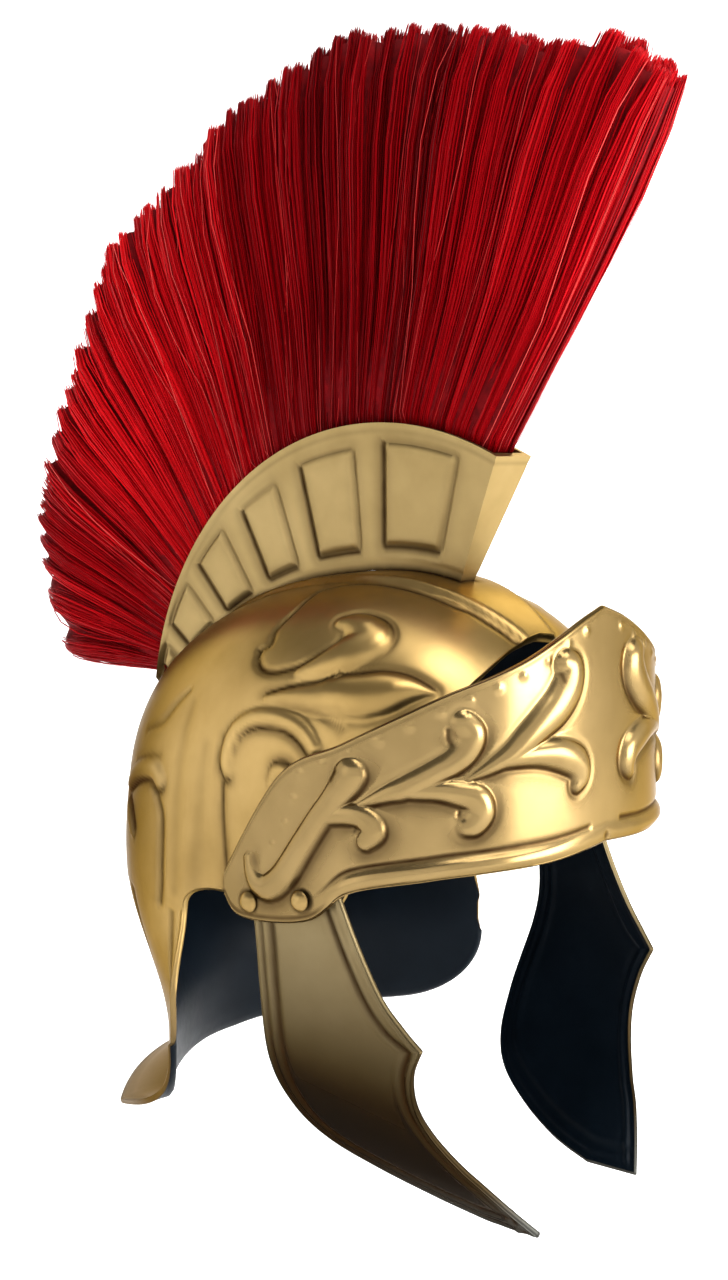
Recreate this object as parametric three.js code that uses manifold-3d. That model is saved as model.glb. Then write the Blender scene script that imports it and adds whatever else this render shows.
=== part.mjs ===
// Ceremonial Roman legionary helmet with a fore-and-aft plume, in millimetres.
// +Z is up, -Y is the wearer's front and +X the wearer's left. The origin is
// the inside of the crown, where the helmet rests on the head.
import * as THREE from 'three';
import { mergeVertices } from 'three/addons/utils/BufferGeometryUtils.js';
import Module from 'manifold-3d';

const wasm = await Module();
wasm.setup();

// ---- driving dimensions -------------------------------------------------

const WALL = 2.5; // moulded shell thickness
const GAP = 0.3; // clearance between neighbouring pieces

const BOWL = {
  halfWidth: 93.4,
  front: 111, // half-length of the egg-shaped plan, centre to brow
  back: 127, // centre to nape
  height: 112,
  centre: new THREE.Vector3(0, -16, -108.4),
  tilt: THREE.MathUtils.degToRad(7), // the dome leans back
  planPower: 2.3,
  profilePower: 2.45,
};
const RIDGE = { halfWidth: 15.8, height: 2.6, rearY: 98 };

// Height of the bowl's lower rim against the plan angle from the brow, in degrees
const BOWL_RIM = [
  [0, -17], [12, -20], [24, -27], [34, -36], [50, -60], [62, -92], [69, -115], [80, -117.5], [92, -117.5],
];
const EAR = { rearY: 14.5, topZ: -117.5, radius: 12, flare: 5 };
const NECK = {
  halfWidth: 103.8,
  backY: 81,
  cornerZ: -183.5, // lower front corner, behind the ear
  cornerLength: 32,
  bottomZ: -216,
  napeDrop: 3,
  narrowBy: 0.68, // share of the drop by which the wall has its lower plan
};
// Turned-out lower edge: fullBy is the share of the corner length where it has its full width
const FLANGE = { width: 22, drop: 6, start: 0.5, fullBy: 0.91, growth: 1.5, curl: 1.6 };

const VISOR = {
  halfWidth: 100.4,
  front: 102.6,
  centreY: -24,
  planPower: 2.45,
  lean: 0.025, // share by which the plan shrinks from rim to top
  rimZ: -95,
  topZ: -0.5,
  endAngle: 95.5,
};
// Heights against the plan angle from the brow, in degrees
const VISOR_TOP = [
  [0, -2.5], [8, -7], [16, -13], [24, -19.5], [32, -25], [42, -31.5], [52, -40], [64, -51], [79, -65],
  [95.5, -107],
];
const VISOR_RIM = [
  [0, -94.5], [17, -97], [34, -98], [46, -100], [62, -106], [72, -119], [90, -123], [95.5, -116],
];
// Bead along the lower rim: height above the rim, and how far it stands out
const BEAD = [[0, 0.4], [2, 1.3], [5.5, 1.5], [8, 0]];
// The bead ends at the ear plate, over a few degrees
const BEAD_END = { angle: 68, fade: 4 };

// Cheek guard edges as [y, z], from the ear down
const CHEEK_FRONT = [
  [-62, -102], [-73, -126.5], [-84, -146], [-93, -157], [-100, -164.5],
  [-95, -176], [-93.4, -190], [-96.4, -203], [-103, -216.5], [-110, -227], [-121.5, -247.5],
];
const CHEEK_REAR = [
  [-24, -102], [-28, -126], [-30, -149.5], [-29, -165.5], [-26, -185], [-25.5, -199.5],
  [-28.6, -215.5], [-38, -227.5], [-56, -237], [-78, -244.5], [-98, -248.5],
];
const CHEEK = {
  halfWidth: 97.3,
  bendZ: -141.5, // below this the plate curves in under the jaw
  bendLength: 187,
  lean: 13, // how far the front edge leans in, and where that starts and fades
  leanFade: 110,
  leanY: -26,
  leanRun: 70,
  leanPower: 1.5,
};

const CREST = {
  top: { y: -18, z: -74.5, radius: 144 },
  bottom: { y: -18, z: -180.5, radius: 188 }, // where the trough stands clear of the dome
  topAngles: [115.5, 9], // degrees around the top arc from +Y, brow to nape
  bottomYs: [-57, 126],
  topHalfWidth: 12,
  bottomHalfWidth: 4.7,
  wall: 2.2,
  hollowSpan: [0.012, 0.93], // share of its length that is hollow
};
const PEG = { radius: 2.5, ys: [-40, 26], length: 11 };

// Rivet positions in side view, and the inner face of the bowl there
const RIVETS = { rear: { y: -28, z: -116.5, innerX: 88.4 }, front: { y: -54, z: -111.5, innerX: 85.6 } };
const RIVET = { shank: 1.8, head: 4.3, dome: 2.6, backHead: 3.4, backHeight: 1.2 };

const PLUME = {
  // Outer outline as [y, z], from the front tip over the top to the nape
  outline: [
    [-150, 190], [-132, 208], [-97, 214], [-68, 221], [-38, 229], [-3, 229], [25, 224], [53, 214],
    [80, 200], [107, 184], [141, 163], [163, 143], [180, 103], [197, 69], [212, 34], [209, -2], [192, -50],
  ],
  span: [0.018, 0.985], // share of the crest's length that the hair stands on
  rootEnd: 0.88, // and where its root stops reaching down into the trough
  rootDepth: 12,
  rootShare: 0.45, // of the trough's depth where the trough is shallow
  mouthRise: 2,
  halfWidth: 22,
  // How wide the fan is from mouth to tip: share of the way, share of the half-width
  bulge: [[0.35, 0.62], [0.7, 0.92], [0.9, 0.9], [0.98, 0.55]],
  frontBow: 3, // how far the front edge bows forward, halfway up
};

const GOLD = { color: 0xa88b52, roughness: 0.38, metalness: 0.85 };
const HAIR = { color: 0xb5121b, roughness: 0.6, metalness: 0 };

// ---- helpers ------------------------------------------------------------

const { degToRad, lerp } = THREE.MathUtils;
const signedPower = (value, power) => Math.sign(value) * Math.abs(value) ** power;

// Smooth curve through [position, value] pairs, read at a position
function curveThrough(pairs) {
  const spline = new THREE.SplineCurve(pairs.map(([a, b]) => new THREE.Vector2(a, b)));
  const points = spline.getPoints(40 * pairs.length);
  return (position) => {
    const next = points.findIndex((point) => point.x >= position);
    if (next === 0) return points[0].y;
    if (next < 0) return points.at(-1).y;
    const [from, to] = [points[next - 1], points[next]];
    return lerp(from.y, to.y, (position - from.x) / (to.x - from.x));
  };
}

// Closes an open sheet of outer points into a wall of the given thickness
function wallFrom(points, triangles, thickness) {
  const sheet = new THREE.BufferGeometry().setFromPoints(points);
  sheet.setIndex(triangles.flat());
  sheet.computeVertexNormals();
  const normal = new THREE.Vector3();
  const inner = points.map((point, index) => {
    normal.fromBufferAttribute(sheet.attributes.normal, index);
    return point.clone().addScaledVector(normal, -thickness);
  });
  const count = points.length;
  const edges = new Set();
  for (const [a, b, c] of triangles) [[a, b], [b, c], [c, a]].forEach((edge) => edges.add(edge.join()));
  const all = triangles.flatMap(([a, b, c]) => [[a, b, c], [a + count, c + count, b + count]]);
  for (const edge of edges) {
    const [a, b] = edge.split(',').map(Number);
    if (!edges.has([b, a].join())) all.push([b, a, a + count], [b, a + count, b + count]);
  }
  return solidFrom([...points, ...inner], all);
}

// Triangles of a grid of indices, rows[j][i], wound so that (next row) x (next column) faces out
function gridTriangles(rows, around) {
  const triangles = [];
  for (let j = 0; j + 1 < rows.length; j++) {
    const columns = rows[j].length;
    for (let i = 0; i < (around ? columns : columns - 1); i++) {
      const k = (i + 1) % columns;
      const [a, b, c, d] = [rows[j][i], rows[j][k], rows[j + 1][k], rows[j + 1][i]];
      triangles.push([a, c, b], [a, d, c]);
    }
  }
  return triangles;
}

function solidFrom(points, triangles) {
  const mesh = new wasm.Mesh({
    numProp: 3,
    vertProperties: new Float32Array(points.flatMap((point) => point.toArray())),
    triVerts: new Uint32Array(triangles.flat()),
  });
  return new wasm.Manifold(mesh);
}

// Solid lofted through closed sections that all have the same number of points
function loft(sections) {
  const size = sections[0].length;
  const rows = sections.map((_, j) => sections[0].map((_, i) => j * size + i));
  const triangles = gridTriangles(rows, true);
  const last = rows.length - 1;
  for (let i = 1; i + 1 < size; i++) {
    triangles.push([rows[0][0], rows[0][i], rows[0][i + 1]]);
    triangles.push([rows[last][0], rows[last][i + 1], rows[last][i]]);
  }
  return solidFrom(sections.flat(), triangles);
}

// Solid of a three.js geometry, placed by a matrix
function solidOf(geometry, matrix) {
  const bare = geometry.toNonIndexed();
  bare.deleteAttribute('normal');
  bare.deleteAttribute('uv');
  const merged = mergeVertices(bare.applyMatrix4(matrix), 1e-4);
  const mesh = new wasm.Mesh({
    numProp: 3,
    vertProperties: new Float32Array(merged.attributes.position.array),
    triVerts: new Uint32Array(merged.index.array),
  });
  return new wasm.Manifold(mesh);
}

function pieceFrom(name, solid, finish) {
  const { vertProperties, triVerts, numProp } = solid.getMesh();
  const geometry = new THREE.BufferGeometry();
  const positions = [];
  for (let k = 0; k < vertProperties.length; k += numProp) positions.push(...vertProperties.slice(k, k + 3));
  geometry.setAttribute('position', new THREE.Float32BufferAttribute(positions, 3));
  geometry.setIndex([...triVerts]);
  geometry.computeVertexNormals();
  const mesh = new THREE.Mesh(geometry, new THREE.MeshStandardMaterial(finish));
  mesh.name = name;
  return mesh;
}

const mirrored = (solid) => solid.mirror([1, 0, 0]);

// ---- bowl ---------------------------------------------------------------

// Turns a point of the level dome into the tilted, placed one
function placeDome(x, y, z) {
  const [cosine, sine] = [Math.cos(BOWL.tilt), Math.sin(BOWL.tilt)];
  return new THREE.Vector3(x, y * cosine + z * sine, z * cosine - y * sine).add(BOWL.centre);
}

// Dome point at a plan angle from the brow; latitude is 90 degrees at the crown and 0 at the
// widest ring, and below that the wall runs straight down by 1 mm for each -1
function domePoint(angle, latitude) {
  const lower = Math.min(latitude, 0);
  const rise = degToRad(Math.max(latitude, 0));
  const spread = Math.max(Math.cos(rise), 0) ** (2 / BOWL.profilePower);
  const height = BOWL.height * Math.sin(rise) ** (2 / BOWL.profilePower) + lower;
  const length = Math.cos(angle) > 0 ? BOWL.front : BOWL.back;
  const x = BOWL.halfWidth * spread * signedPower(Math.sin(angle), 2 / BOWL.planPower);
  const y = -length * spread * signedPower(Math.cos(angle), 2 / BOWL.planPower);
  const point = placeDome(x, y, height);
  const rearward = THREE.MathUtils.smoothstep(point.y, -10, EAR.rearY);
  const downward = THREE.MathUtils.smoothstep(-point.z, 85, -EAR.topZ + EAR.radius);
  point.x += Math.sign(x) * EAR.flare * rearward * downward * (Math.abs(x) / BOWL.halfWidth);
  return point;
}

// Latitude at which the dome column at this angle reaches a height
function latitudeAt(angle, z) {
  let [high, low] = [80, -60];
  for (let k = 0; k < 40; k++) {
    const middle = (high + low) / 2;
    if (domePoint(angle, middle).z > z) high = middle;
    else low = middle;
  }
  return low;
}

// Plan angle at which the bowl wall at a height reaches the ear cut-out's rear edge
function earAngle(z) {
  let [near, far] = [Math.PI / 2, Math.PI];
  for (let k = 0; k < 40; k++) {
    const middle = (near + far) / 2;
    if (domePoint(middle, latitudeAt(middle, z)).y < EAR.rearY) near = middle;
    else far = middle;
  }
  return near;
}

const bowlRimHeight = curveThrough(BOWL_RIM);
const earLegZ = EAR.topZ - EAR.radius;

// Rim height at a plan angle, with the rounded rear corner of the ear cut-out
function rimHeight(angle, stepAngle) {
  if (angle >= stepAngle) return earLegZ;
  const run = ((stepAngle - angle) * BOWL.halfWidth) / EAR.radius;
  const corner = run < 1 ? EAR.radius * (1 - Math.sqrt(1 - (1 - run) ** 2)) : 0;
  return bowlRimHeight(THREE.MathUtils.radToDeg(angle)) - corner;
}

// Neck guard point: share is 0 at the ear edge and 1 at the nape, down is 0 at the ear and 1 at
// the bend, and out runs from 0 to 1 across the turned-out flange
function neckPoint(top, share, side, down, out) {
  const turn = (share * Math.PI) / 2;
  const reach = NECK.backY - EAR.rearY;
  const foot = new THREE.Vector3(
    side * NECK.halfWidth * Math.cos(turn),
    EAR.rearY + reach * Math.sin(turn) ** 2,
    0,
  );
  const along = Math.min((foot.y - EAR.rearY) / NECK.cornerLength, 1);
  const depth = Math.sqrt(1 - (1 - along) ** 2);
  foot.z = lerp(NECK.cornerZ, NECK.bottomZ, depth) - NECK.napeDrop * share ** 2;
  const ease = THREE.MathUtils.smoothstep(down, -0.05, NECK.narrowBy);
  const point = top.clone().lerp(foot, ease);
  point.z = lerp(top.z, foot.z, down);
  const slope = (2 * side * Math.cos(turn) * reach) / NECK.halfWidth;
  const outward = new THREE.Vector3(slope, 1, 0).normalize();
  const grown = Math.min(along / FLANGE.fullBy, 1) ** FLANGE.growth;
  const width = lerp(FLANGE.start, FLANGE.width, grown);
  point.addScaledVector(outward, width * out);
  point.z -= FLANGE.drop * (width / FLANGE.width) * out ** FLANGE.curl;
  return point;
}

function bowlShell() {
  const stepAngle = earAngle(earLegZ);
  const frontColumns = 13;
  const cornerShares = [0.25, 0.55, 0.8, 0.95];
  const backColumns = 11;
  const domeRows = 14;
  const cornerAngle = EAR.radius / BOWL.halfWidth;
  const half = [];
  for (let i = 0; i <= frontColumns; i++) half.push(((stepAngle - cornerAngle) * i) / frontColumns);
  for (const share of cornerShares) half.push(stepAngle - cornerAngle * (1 - share));
  for (let i = 0; i <= backColumns; i++) half.push(lerp(stepAngle, Math.PI, i / backColumns));
  const angles = [...half, ...half.slice(1, -1).reverse().map((angle) => -angle)];

  const points = [domePoint(0, 90)];
  const rows = [];
  for (let j = 1; j <= domeRows; j++) {
    const row = [];
    for (const angle of angles) {
      const low = latitudeAt(angle, rimHeight(Math.abs(angle), stepAngle));
      row.push(points.length);
      points.push(domePoint(angle, lerp(90, low, (j / domeRows) ** 0.85)));
    }
    rows.push(row);
  }
  const triangles = gridTriangles(rows, true);
  rows[0].forEach((index, i) => triangles.push([0, index, rows[0][(i + 1) % angles.length]]));

  // Columns of the neck guard, from the wearer's left ear round the nape to the right ear
  const first = half.length - 1 - backColumns;
  const neckRows = [rows.at(-1).slice(first, first + 2 * backColumns + 1)];
  const steps = [[0.15, 0], [0.32, 0], [0.5, 0], [0.68, 0], [0.84, 0], [0.95, 0.01], [0.99, 0.12]];
  steps.push([1, 0.35], [1, 0.7], [1, 1]);
  for (const [down, out] of steps) {
    neckRows.push(neckRows[0].map((topIndex, i) => {
      const share = 1 - Math.abs(i - backColumns) / backColumns;
      const side = i <= backColumns ? 1 : -1;
      points.push(neckPoint(points[topIndex], share, side, down, out));
      return points.length - 1;
    }));
  }
  triangles.push(...gridTriangles(neckRows, false));
  return wallFrom(points, triangles, WALL);
}

// Raised band over the crown, from the brow to the nape
function ridgeSolid() {
  const stations = 22;
  const frontY = domePoint(0, latitudeAt(0, BOWL_RIM[0][1])).y;
  const sections = [];
  for (let k = 0; k <= stations; k++) {
    const share = k / stations;
    const y = lerp(frontY, RIDGE.rearY, share) - BOWL.centre.y;
    const section = [-1, -0.5, 0, 0.5, 1].map((x) => crownPoint(x * RIDGE.halfWidth, y, RIDGE.height));
    const inner = [1, 0, -1].map((x) => crownPoint(x * RIDGE.halfWidth, y, -WALL / 2));
    sections.push([...section, ...inner]);
  }
  return loft(sections.reverse());
}

// Point of the dome above a level plan position, raised along the surface normal
function crownPoint(x, y, raise) {
  const heightAt = (px, py) => {
    const length = py < 0 ? BOWL.front : BOWL.back;
    const plan = Math.abs(px / BOWL.halfWidth) ** BOWL.planPower + Math.abs(py / length) ** BOWL.planPower;
    const left = Math.max(1 - plan ** (BOWL.profilePower / BOWL.planPower), 0);
    return BOWL.height * left ** (1 / BOWL.profilePower);
  };
  const step = 0.05;
  const slopeX = (heightAt(x + step, y) - heightAt(x - step, y)) / (2 * step);
  const slopeY = (heightAt(x, y + step) - heightAt(x, y - step)) / (2 * step);
  const normal = new THREE.Vector3(-slopeX, -slopeY, 1).normalize().multiplyScalar(raise);
  return placeDome(x + normal.x, y + normal.y, heightAt(x, y) + normal.z);
}

// ---- visor --------------------------------------------------------------

const visorTop = curveThrough(VISOR_TOP);
const visorRim = curveThrough(VISOR_RIM);

function visorPoint(degrees, z, out) {
  const angle = degToRad(degrees);
  const acrossShare = (Math.abs(Math.sin(angle)) / VISOR.halfWidth) ** VISOR.planPower;
  const alongShare = (Math.abs(Math.cos(angle)) / VISOR.front) ** VISOR.planPower;
  const rise = THREE.MathUtils.clamp((z - VISOR.rimZ) / (VISOR.topZ - VISOR.rimZ), 0, 1);
  const radius = (acrossShare + alongShare) ** (-1 / VISOR.planPower) * (1 - VISOR.lean * rise) + out;
  return new THREE.Vector3(radius * Math.sin(angle), VISOR.centreY - radius * Math.cos(angle), z);
}

function visorShell() {
  const columns = 48;
  const upperRows = 3;
  const points = [];
  const rows = [];
  const addRow = (heightAndOut) => {
    const row = [];
    for (let i = 0; i <= columns; i++) {
      const degrees = lerp(-VISOR.endAngle, VISOR.endAngle, i / columns);
      const [z, out] = heightAndOut(Math.abs(degrees));
      row.push(points.length);
      points.push(visorPoint(degrees, z, out));
    }
    rows.push(row);
  };
  for (let k = upperRows; k > 0; k--) {
    addRow((degrees) => [lerp(visorRim(degrees) + BEAD.at(-1)[0], visorTop(degrees), k / upperRows), 0]);
  }
  for (const [rise, out] of [...BEAD].reverse()) {
    addRow((degrees) => {
      const left = THREE.MathUtils.clamp((BEAD_END.angle - degrees) / BEAD_END.fade, 0, 1);
      return [visorRim(degrees) + rise, out * left];
    });
  }
  return wallFrom(points, gridTriangles(rows, false), WALL);
}

// ---- cheek guards -------------------------------------------------------

// Half-width of the cheek guard's outer face at a point of its side view
function cheekX(y, z) {
  const down = CHEEK.bendZ - z;
  const lean = CHEEK.lean * (1 - down / CHEEK.leanFade);
  const forward = Math.max(CHEEK.leanY - y, 0) / CHEEK.leanRun;
  return CHEEK.halfWidth - Math.max(down, 0) ** 2 / CHEEK.bendLength - lean * forward ** CHEEK.leanPower;
}

function cheekShell() {
  const steps = 26;
  const across = 7;
  const edge = (pairs) => new THREE.SplineCurve(pairs.map(([y, z]) => new THREE.Vector2(y, z)));
  const [front, rear] = [edge(CHEEK_FRONT), edge(CHEEK_REAR)];
  const points = [];
  const rows = [];
  for (let j = 0; j <= steps; j++) {
    const [from, to] = [front.getPoint(j / steps), rear.getPoint(j / steps)];
    const row = [];
    for (let i = 0; i <= across; i++) {
      const [y, z] = [lerp(from.x, to.x, i / across), lerp(from.y, to.y, i / across)];
      row.push(points.length);
      points.push(new THREE.Vector3(cheekX(y, z), y, z));
    }
    rows.push(row);
  }
  return wallFrom(points, gridTriangles(rows, false), WALL);
}

// ---- crest box ----------------------------------------------------------

// Height of the bowl's raised band along the centre line
function bandHeight(y) {
  let [near, far] = [-BOWL.front + 1, BOWL.back - 1];
  for (let k = 0; k < 40; k++) {
    const middle = (near + far) / 2;
    if (crownPoint(0, middle, RIDGE.height).y < y) near = middle;
    else far = middle;
  }
  return crownPoint(0, near, RIDGE.height).z;
}

function crestEdges(share) {
  const angle = degToRad(lerp(...CREST.topAngles, share));
  const { top, bottom } = CREST;
  const upper = new THREE.Vector3(0, Math.cos(angle), Math.sin(angle)).multiplyScalar(top.radius);
  upper.add(new THREE.Vector3(0, top.y, top.z));
  const y = lerp(...CREST.bottomYs, share);
  const arc = bottom.z + Math.sqrt(bottom.radius ** 2 - (y - bottom.y) ** 2);
  const lower = new THREE.Vector3(0, y, y < 60 ? Math.max(arc, bandHeight(y) + GAP) : arc);
  return { upper, lower };
}

// Four-cornered slice of the trough, inset for the hollow inside it
function crestSection(share, inset, above) {
  const { upper, lower } = crestEdges(share);
  const rise = upper.clone().sub(lower);
  const depth = rise.length();
  rise.normalize();
  const flare = (CREST.topHalfWidth - CREST.bottomHalfWidth) / depth;
  const foot = CREST.bottomHalfWidth + flare * inset - inset;
  const mouth = CREST.topHalfWidth + flare * above - inset;
  const [low, high] = [lower.addScaledVector(rise, inset), upper.addScaledVector(rise, above)];
  const at = (centre, x) => new THREE.Vector3(x, centre.y, centre.z);
  return [at(high, -mouth), at(low, -foot), at(low, foot), at(high, mouth)];
}

function crestSolid() {
  const steps = 32;
  const outer = [];
  for (let k = 0; k <= steps; k++) outer.push(crestSection(k / steps, 0, 0));
  const hollow = [];
  for (let k = 0; k <= steps; k++) {
    hollow.push(crestSection(lerp(...CREST.hollowSpan, k / steps), CREST.wall, CREST.wall));
  }
  let box = loft(outer).subtract(loft(hollow));
  for (const y of PEG.ys) box = box.add(peg(y, 0));
  return box;
}

// Peg under the crest box, or its hole in the bowl when grown by the clearance
function peg(y, growth) {
  const radius = PEG.radius + growth;
  const shape = new THREE.CylinderGeometry(radius, radius, PEG.length, 16);
  const middleZ = bandHeight(y) + CREST.wall - PEG.length / 2 + growth;
  const place = new THREE.Matrix4().makeTranslation(0, y, middleZ);
  return solidOf(shape, place.multiply(new THREE.Matrix4().makeRotationX(Math.PI / 2)));
}

// ---- plume --------------------------------------------------------------

// Closed slice of the fan from its root in the trough to the outer edge
function plumeSection(share, outline) {
  const crestShare = lerp(...PLUME.span, share);
  const { upper, lower } = crestEdges(crestShare);
  const depth = upper.distanceTo(lower);
  const inTrough = crestShare < PLUME.rootEnd;
  const sink = inTrough ? Math.min(PLUME.rootDepth, depth * PLUME.rootShare) : -4 * GAP;
  const root = upper.clone().lerp(lower, sink / depth);
  const rise = upper.clone().sub(lower).normalize();
  const mouth = upper.clone().addScaledVector(rise, PLUME.mouthRise);
  const tip = outline.getPoint(share);
  const end = new THREE.Vector3(0, tip.x, tip.y);
  const bow = PLUME.frontBow * (1 - share) ** 4;
  const at = (reach, width) => {
    const centre = mouth.clone().lerp(end, reach);
    centre.y -= bow * Math.sin(Math.PI * reach);
    return [centre, width];
  };
  const flare = (CREST.topHalfWidth - CREST.bottomHalfWidth) / depth;
  const rootHalfWidth = CREST.topHalfWidth - flare * sink - CREST.wall - 3 * GAP;
  const stations = [[root, rootHalfWidth], [mouth, CREST.topHalfWidth - CREST.wall - 2 * GAP]];
  for (const [reach, width] of PLUME.bulge) stations.push(at(reach, width * PLUME.halfWidth));
  const place = (centre, x) => new THREE.Vector3(x, centre.y, centre.z);
  const side = (sign) => stations.map(([centre, width]) => place(centre, sign * width));
  return [...side(-1).reverse(), ...side(1), end];
}

function plumeSolid() {
  const steps = 36;
  const outline = new THREE.SplineCurve(PLUME.outline.map(([y, z]) => new THREE.Vector2(y, z)));
  const sections = [];
  for (let k = 0; k <= steps; k++) sections.push(plumeSection(k / steps, outline));
  return loft(sections);
}

// ---- rivets -------------------------------------------------------------

// Placement of a shape made along Y, laid along X at a point
const lyingAcross = (x, y, z) => {
  const place = new THREE.Matrix4().makeTranslation(x, y, z);
  return place.multiply(new THREE.Matrix4().makeRotationZ(-Math.PI / 2));
};

// Outer face of the ear plate at a rivet, found along its plan curve
function plateX(y) {
  let [near, far] = [60, VISOR.endAngle];
  for (let k = 0; k < 40; k++) {
    const middle = (near + far) / 2;
    if (visorPoint(middle, VISOR.rimZ, 0).y < y) near = middle;
    else far = middle;
  }
  return visorPoint(near, VISOR.rimZ, 0).x;
}

function rivetSolid({ y, z, innerX }) {
  const outerX = plateX(y + RIVET.head) + GAP;
  const backX = innerX - GAP;
  const foot = [[0, -1], [RIVET.head, -1], [RIVET.head, 0]];
  const profile = foot.map(([radius, height]) => new THREE.Vector2(radius, height));
  for (let k = 1; k < 5; k++) {
    const turn = (k * Math.PI) / 10;
    profile.push(new THREE.Vector2(RIVET.head * Math.cos(turn), RIVET.dome * Math.sin(turn)));
  }
  profile.push(new THREE.Vector2(0, RIVET.dome));
  const lathe = new THREE.LatheGeometry(profile, 12);
  const head = solidOf(lathe, lyingAcross(outerX + 1, y, z));
  const length = outerX + 1 - backX;
  const shank = new THREE.CylinderGeometry(RIVET.shank, RIVET.shank, length, 8);
  const back = new THREE.CylinderGeometry(RIVET.backHead, RIVET.backHead, RIVET.backHeight, 10);
  return head
    .add(solidOf(shank, lyingAcross(backX + length / 2 - 0.5, y, z)))
    .add(solidOf(back, lyingAcross(backX - RIVET.backHeight / 2, y, z)));
}

function rivetHole({ y, z }) {
  const radius = RIVET.shank + GAP;
  return solidOf(new THREE.CylinderGeometry(radius, radius, 60, 8), lyingAcross(VISOR.halfWidth, y, z));
}

// ---- assembly -----------------------------------------------------------

const holes = Object.values(RIVETS).map(rivetHole);
const withHoles = (solid, cutters) => cutters.reduce((left, cutter) => left.subtract(cutter), solid);

const bowl = withHoles(bowlShell().add(ridgeSolid()), [
  ...holes, ...holes.map(mirrored), ...PEG.ys.map((y) => peg(y, GAP)),
]);
const visor = withHoles(visorShell(), [...holes, ...holes.map(mirrored)]);
const cheek = withHoles(cheekShell(), holes);

const helmet = new THREE.Group();
helmet.add(pieceFrom('bowl', bowl, GOLD));
helmet.add(pieceFrom('visor', visor, GOLD));
helmet.add(pieceFrom('cheek_guard_left', cheek, GOLD));
helmet.add(pieceFrom('cheek_guard_right', mirrored(cheek), GOLD));
helmet.add(pieceFrom('crest_box', crestSolid(), GOLD));
helmet.add(pieceFrom('plume', plumeSolid(), HAIR));
for (const [place, position] of Object.entries(RIVETS)) {
  const rivet = rivetSolid(position);
  helmet.add(pieceFrom(`rivet_left_${place}`, rivet, GOLD));
  helmet.add(pieceFrom(`rivet_right_${place}`, mirrored(rivet), GOLD));
}

export default helmet;
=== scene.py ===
"""Looks of a ceremonial Roman legionary helmet: embossed gold shells and a fan of red hair.

Lengths are worked out in millimetres, in the CAD frame (+Z up, -Y the wearer's front, +X the
wearer's left), and each mesh is made in metres.
"""
import math

import bpy
import numpy as np
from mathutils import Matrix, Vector


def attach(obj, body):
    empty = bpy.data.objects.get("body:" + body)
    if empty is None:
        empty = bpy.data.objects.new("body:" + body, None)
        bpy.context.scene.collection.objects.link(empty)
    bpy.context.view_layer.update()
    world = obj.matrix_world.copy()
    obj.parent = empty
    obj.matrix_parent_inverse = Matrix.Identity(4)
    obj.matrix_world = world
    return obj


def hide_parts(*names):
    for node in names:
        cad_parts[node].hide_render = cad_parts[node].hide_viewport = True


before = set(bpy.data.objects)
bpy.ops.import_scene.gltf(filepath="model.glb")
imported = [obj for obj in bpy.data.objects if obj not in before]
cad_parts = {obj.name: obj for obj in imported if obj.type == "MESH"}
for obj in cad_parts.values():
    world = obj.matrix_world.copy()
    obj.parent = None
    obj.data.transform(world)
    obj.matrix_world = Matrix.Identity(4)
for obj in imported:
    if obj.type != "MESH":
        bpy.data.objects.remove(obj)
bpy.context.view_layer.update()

# ---- shapes shared with the CAD model -------------------------------------------------------

WALL = 2.5
GAP = 0.3
BOWL_HALF_WIDTH, BOWL_FRONT, BOWL_BACK, BOWL_HEIGHT = 93.4, 111.0, 127.0, 112.0
BOWL_CENTRE = np.array([0.0, -16.0, -108.4])
BOWL_TILT = math.radians(7)
PLAN_POWER, PROFILE_POWER = 2.3, 2.45
BOWL_RIM = [(0, -17), (12, -20), (24, -27), (34, -36), (50, -60), (62, -92), (69, -115), (80, -117.5),
            (92, -117.5)]
EAR_REAR_Y, EAR_TOP_Z, EAR_RADIUS, EAR_FLARE = 14.5, -117.5, 12.0, 5.0
NECK_HALF_WIDTH, NECK_BACK_Y, NECK_CORNER_Z, NECK_CORNER_LENGTH = 103.8, 81.0, -183.5, 32.0
NECK_BOTTOM_Z, NAPE_DROP, NECK_NARROW_BY = -216.0, 3.0, 0.68
FLANGE_WIDTH, FLANGE_DROP, FLANGE_START, FLANGE_FULL_BY = 22.0, 6.0, 0.5, 0.91
RIDGE_HEIGHT = 2.6

VISOR_HALF_WIDTH, VISOR_FRONT, VISOR_CENTRE_Y, VISOR_POWER = 100.4, 102.6, -24.0, 2.45
VISOR_LEAN, VISOR_RIM_Z, VISOR_TOP_Z, VISOR_END = 0.025, -95.0, -0.5, 95.5
VISOR_TOP = [(0, -2.5), (8, -7), (16, -13), (24, -19.5), (32, -25), (42, -31.5), (52, -40), (64, -51),
             (79, -65), (95.5, -107)]
VISOR_RIM = [(0, -94.5), (17, -97), (34, -98), (46, -100), (62, -106), (72, -119), (90, -123),
             (95.5, -116)]

CHEEK_FRONT = [(-62, -102), (-73, -126.5), (-84, -146), (-93, -157), (-100, -164.5), (-95, -176),
               (-93.4, -190), (-96.4, -203), (-103, -216.5), (-110, -227), (-121.5, -247.5)]
CHEEK_REAR = [(-24, -102), (-28, -126), (-30, -149.5), (-29, -165.5), (-26, -185), (-25.5, -199.5),
              (-28.6, -215.5), (-38, -227.5), (-56, -237), (-78, -244.5), (-98, -248.5)]
CHEEK_HALF_WIDTH, CHEEK_BEND_Z, CHEEK_BEND_LENGTH = 97.3, -141.5, 187.0
# How far the cheek guard's front edge leans in, and where that starts and fades
CHEEK_LEAN, CHEEK_LEAN_FADE, CHEEK_LEAN_Y = 13.0, 110.0, -26.0
CHEEK_LEAN_RUN, CHEEK_LEAN_POWER = 70.0, 1.5

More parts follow.
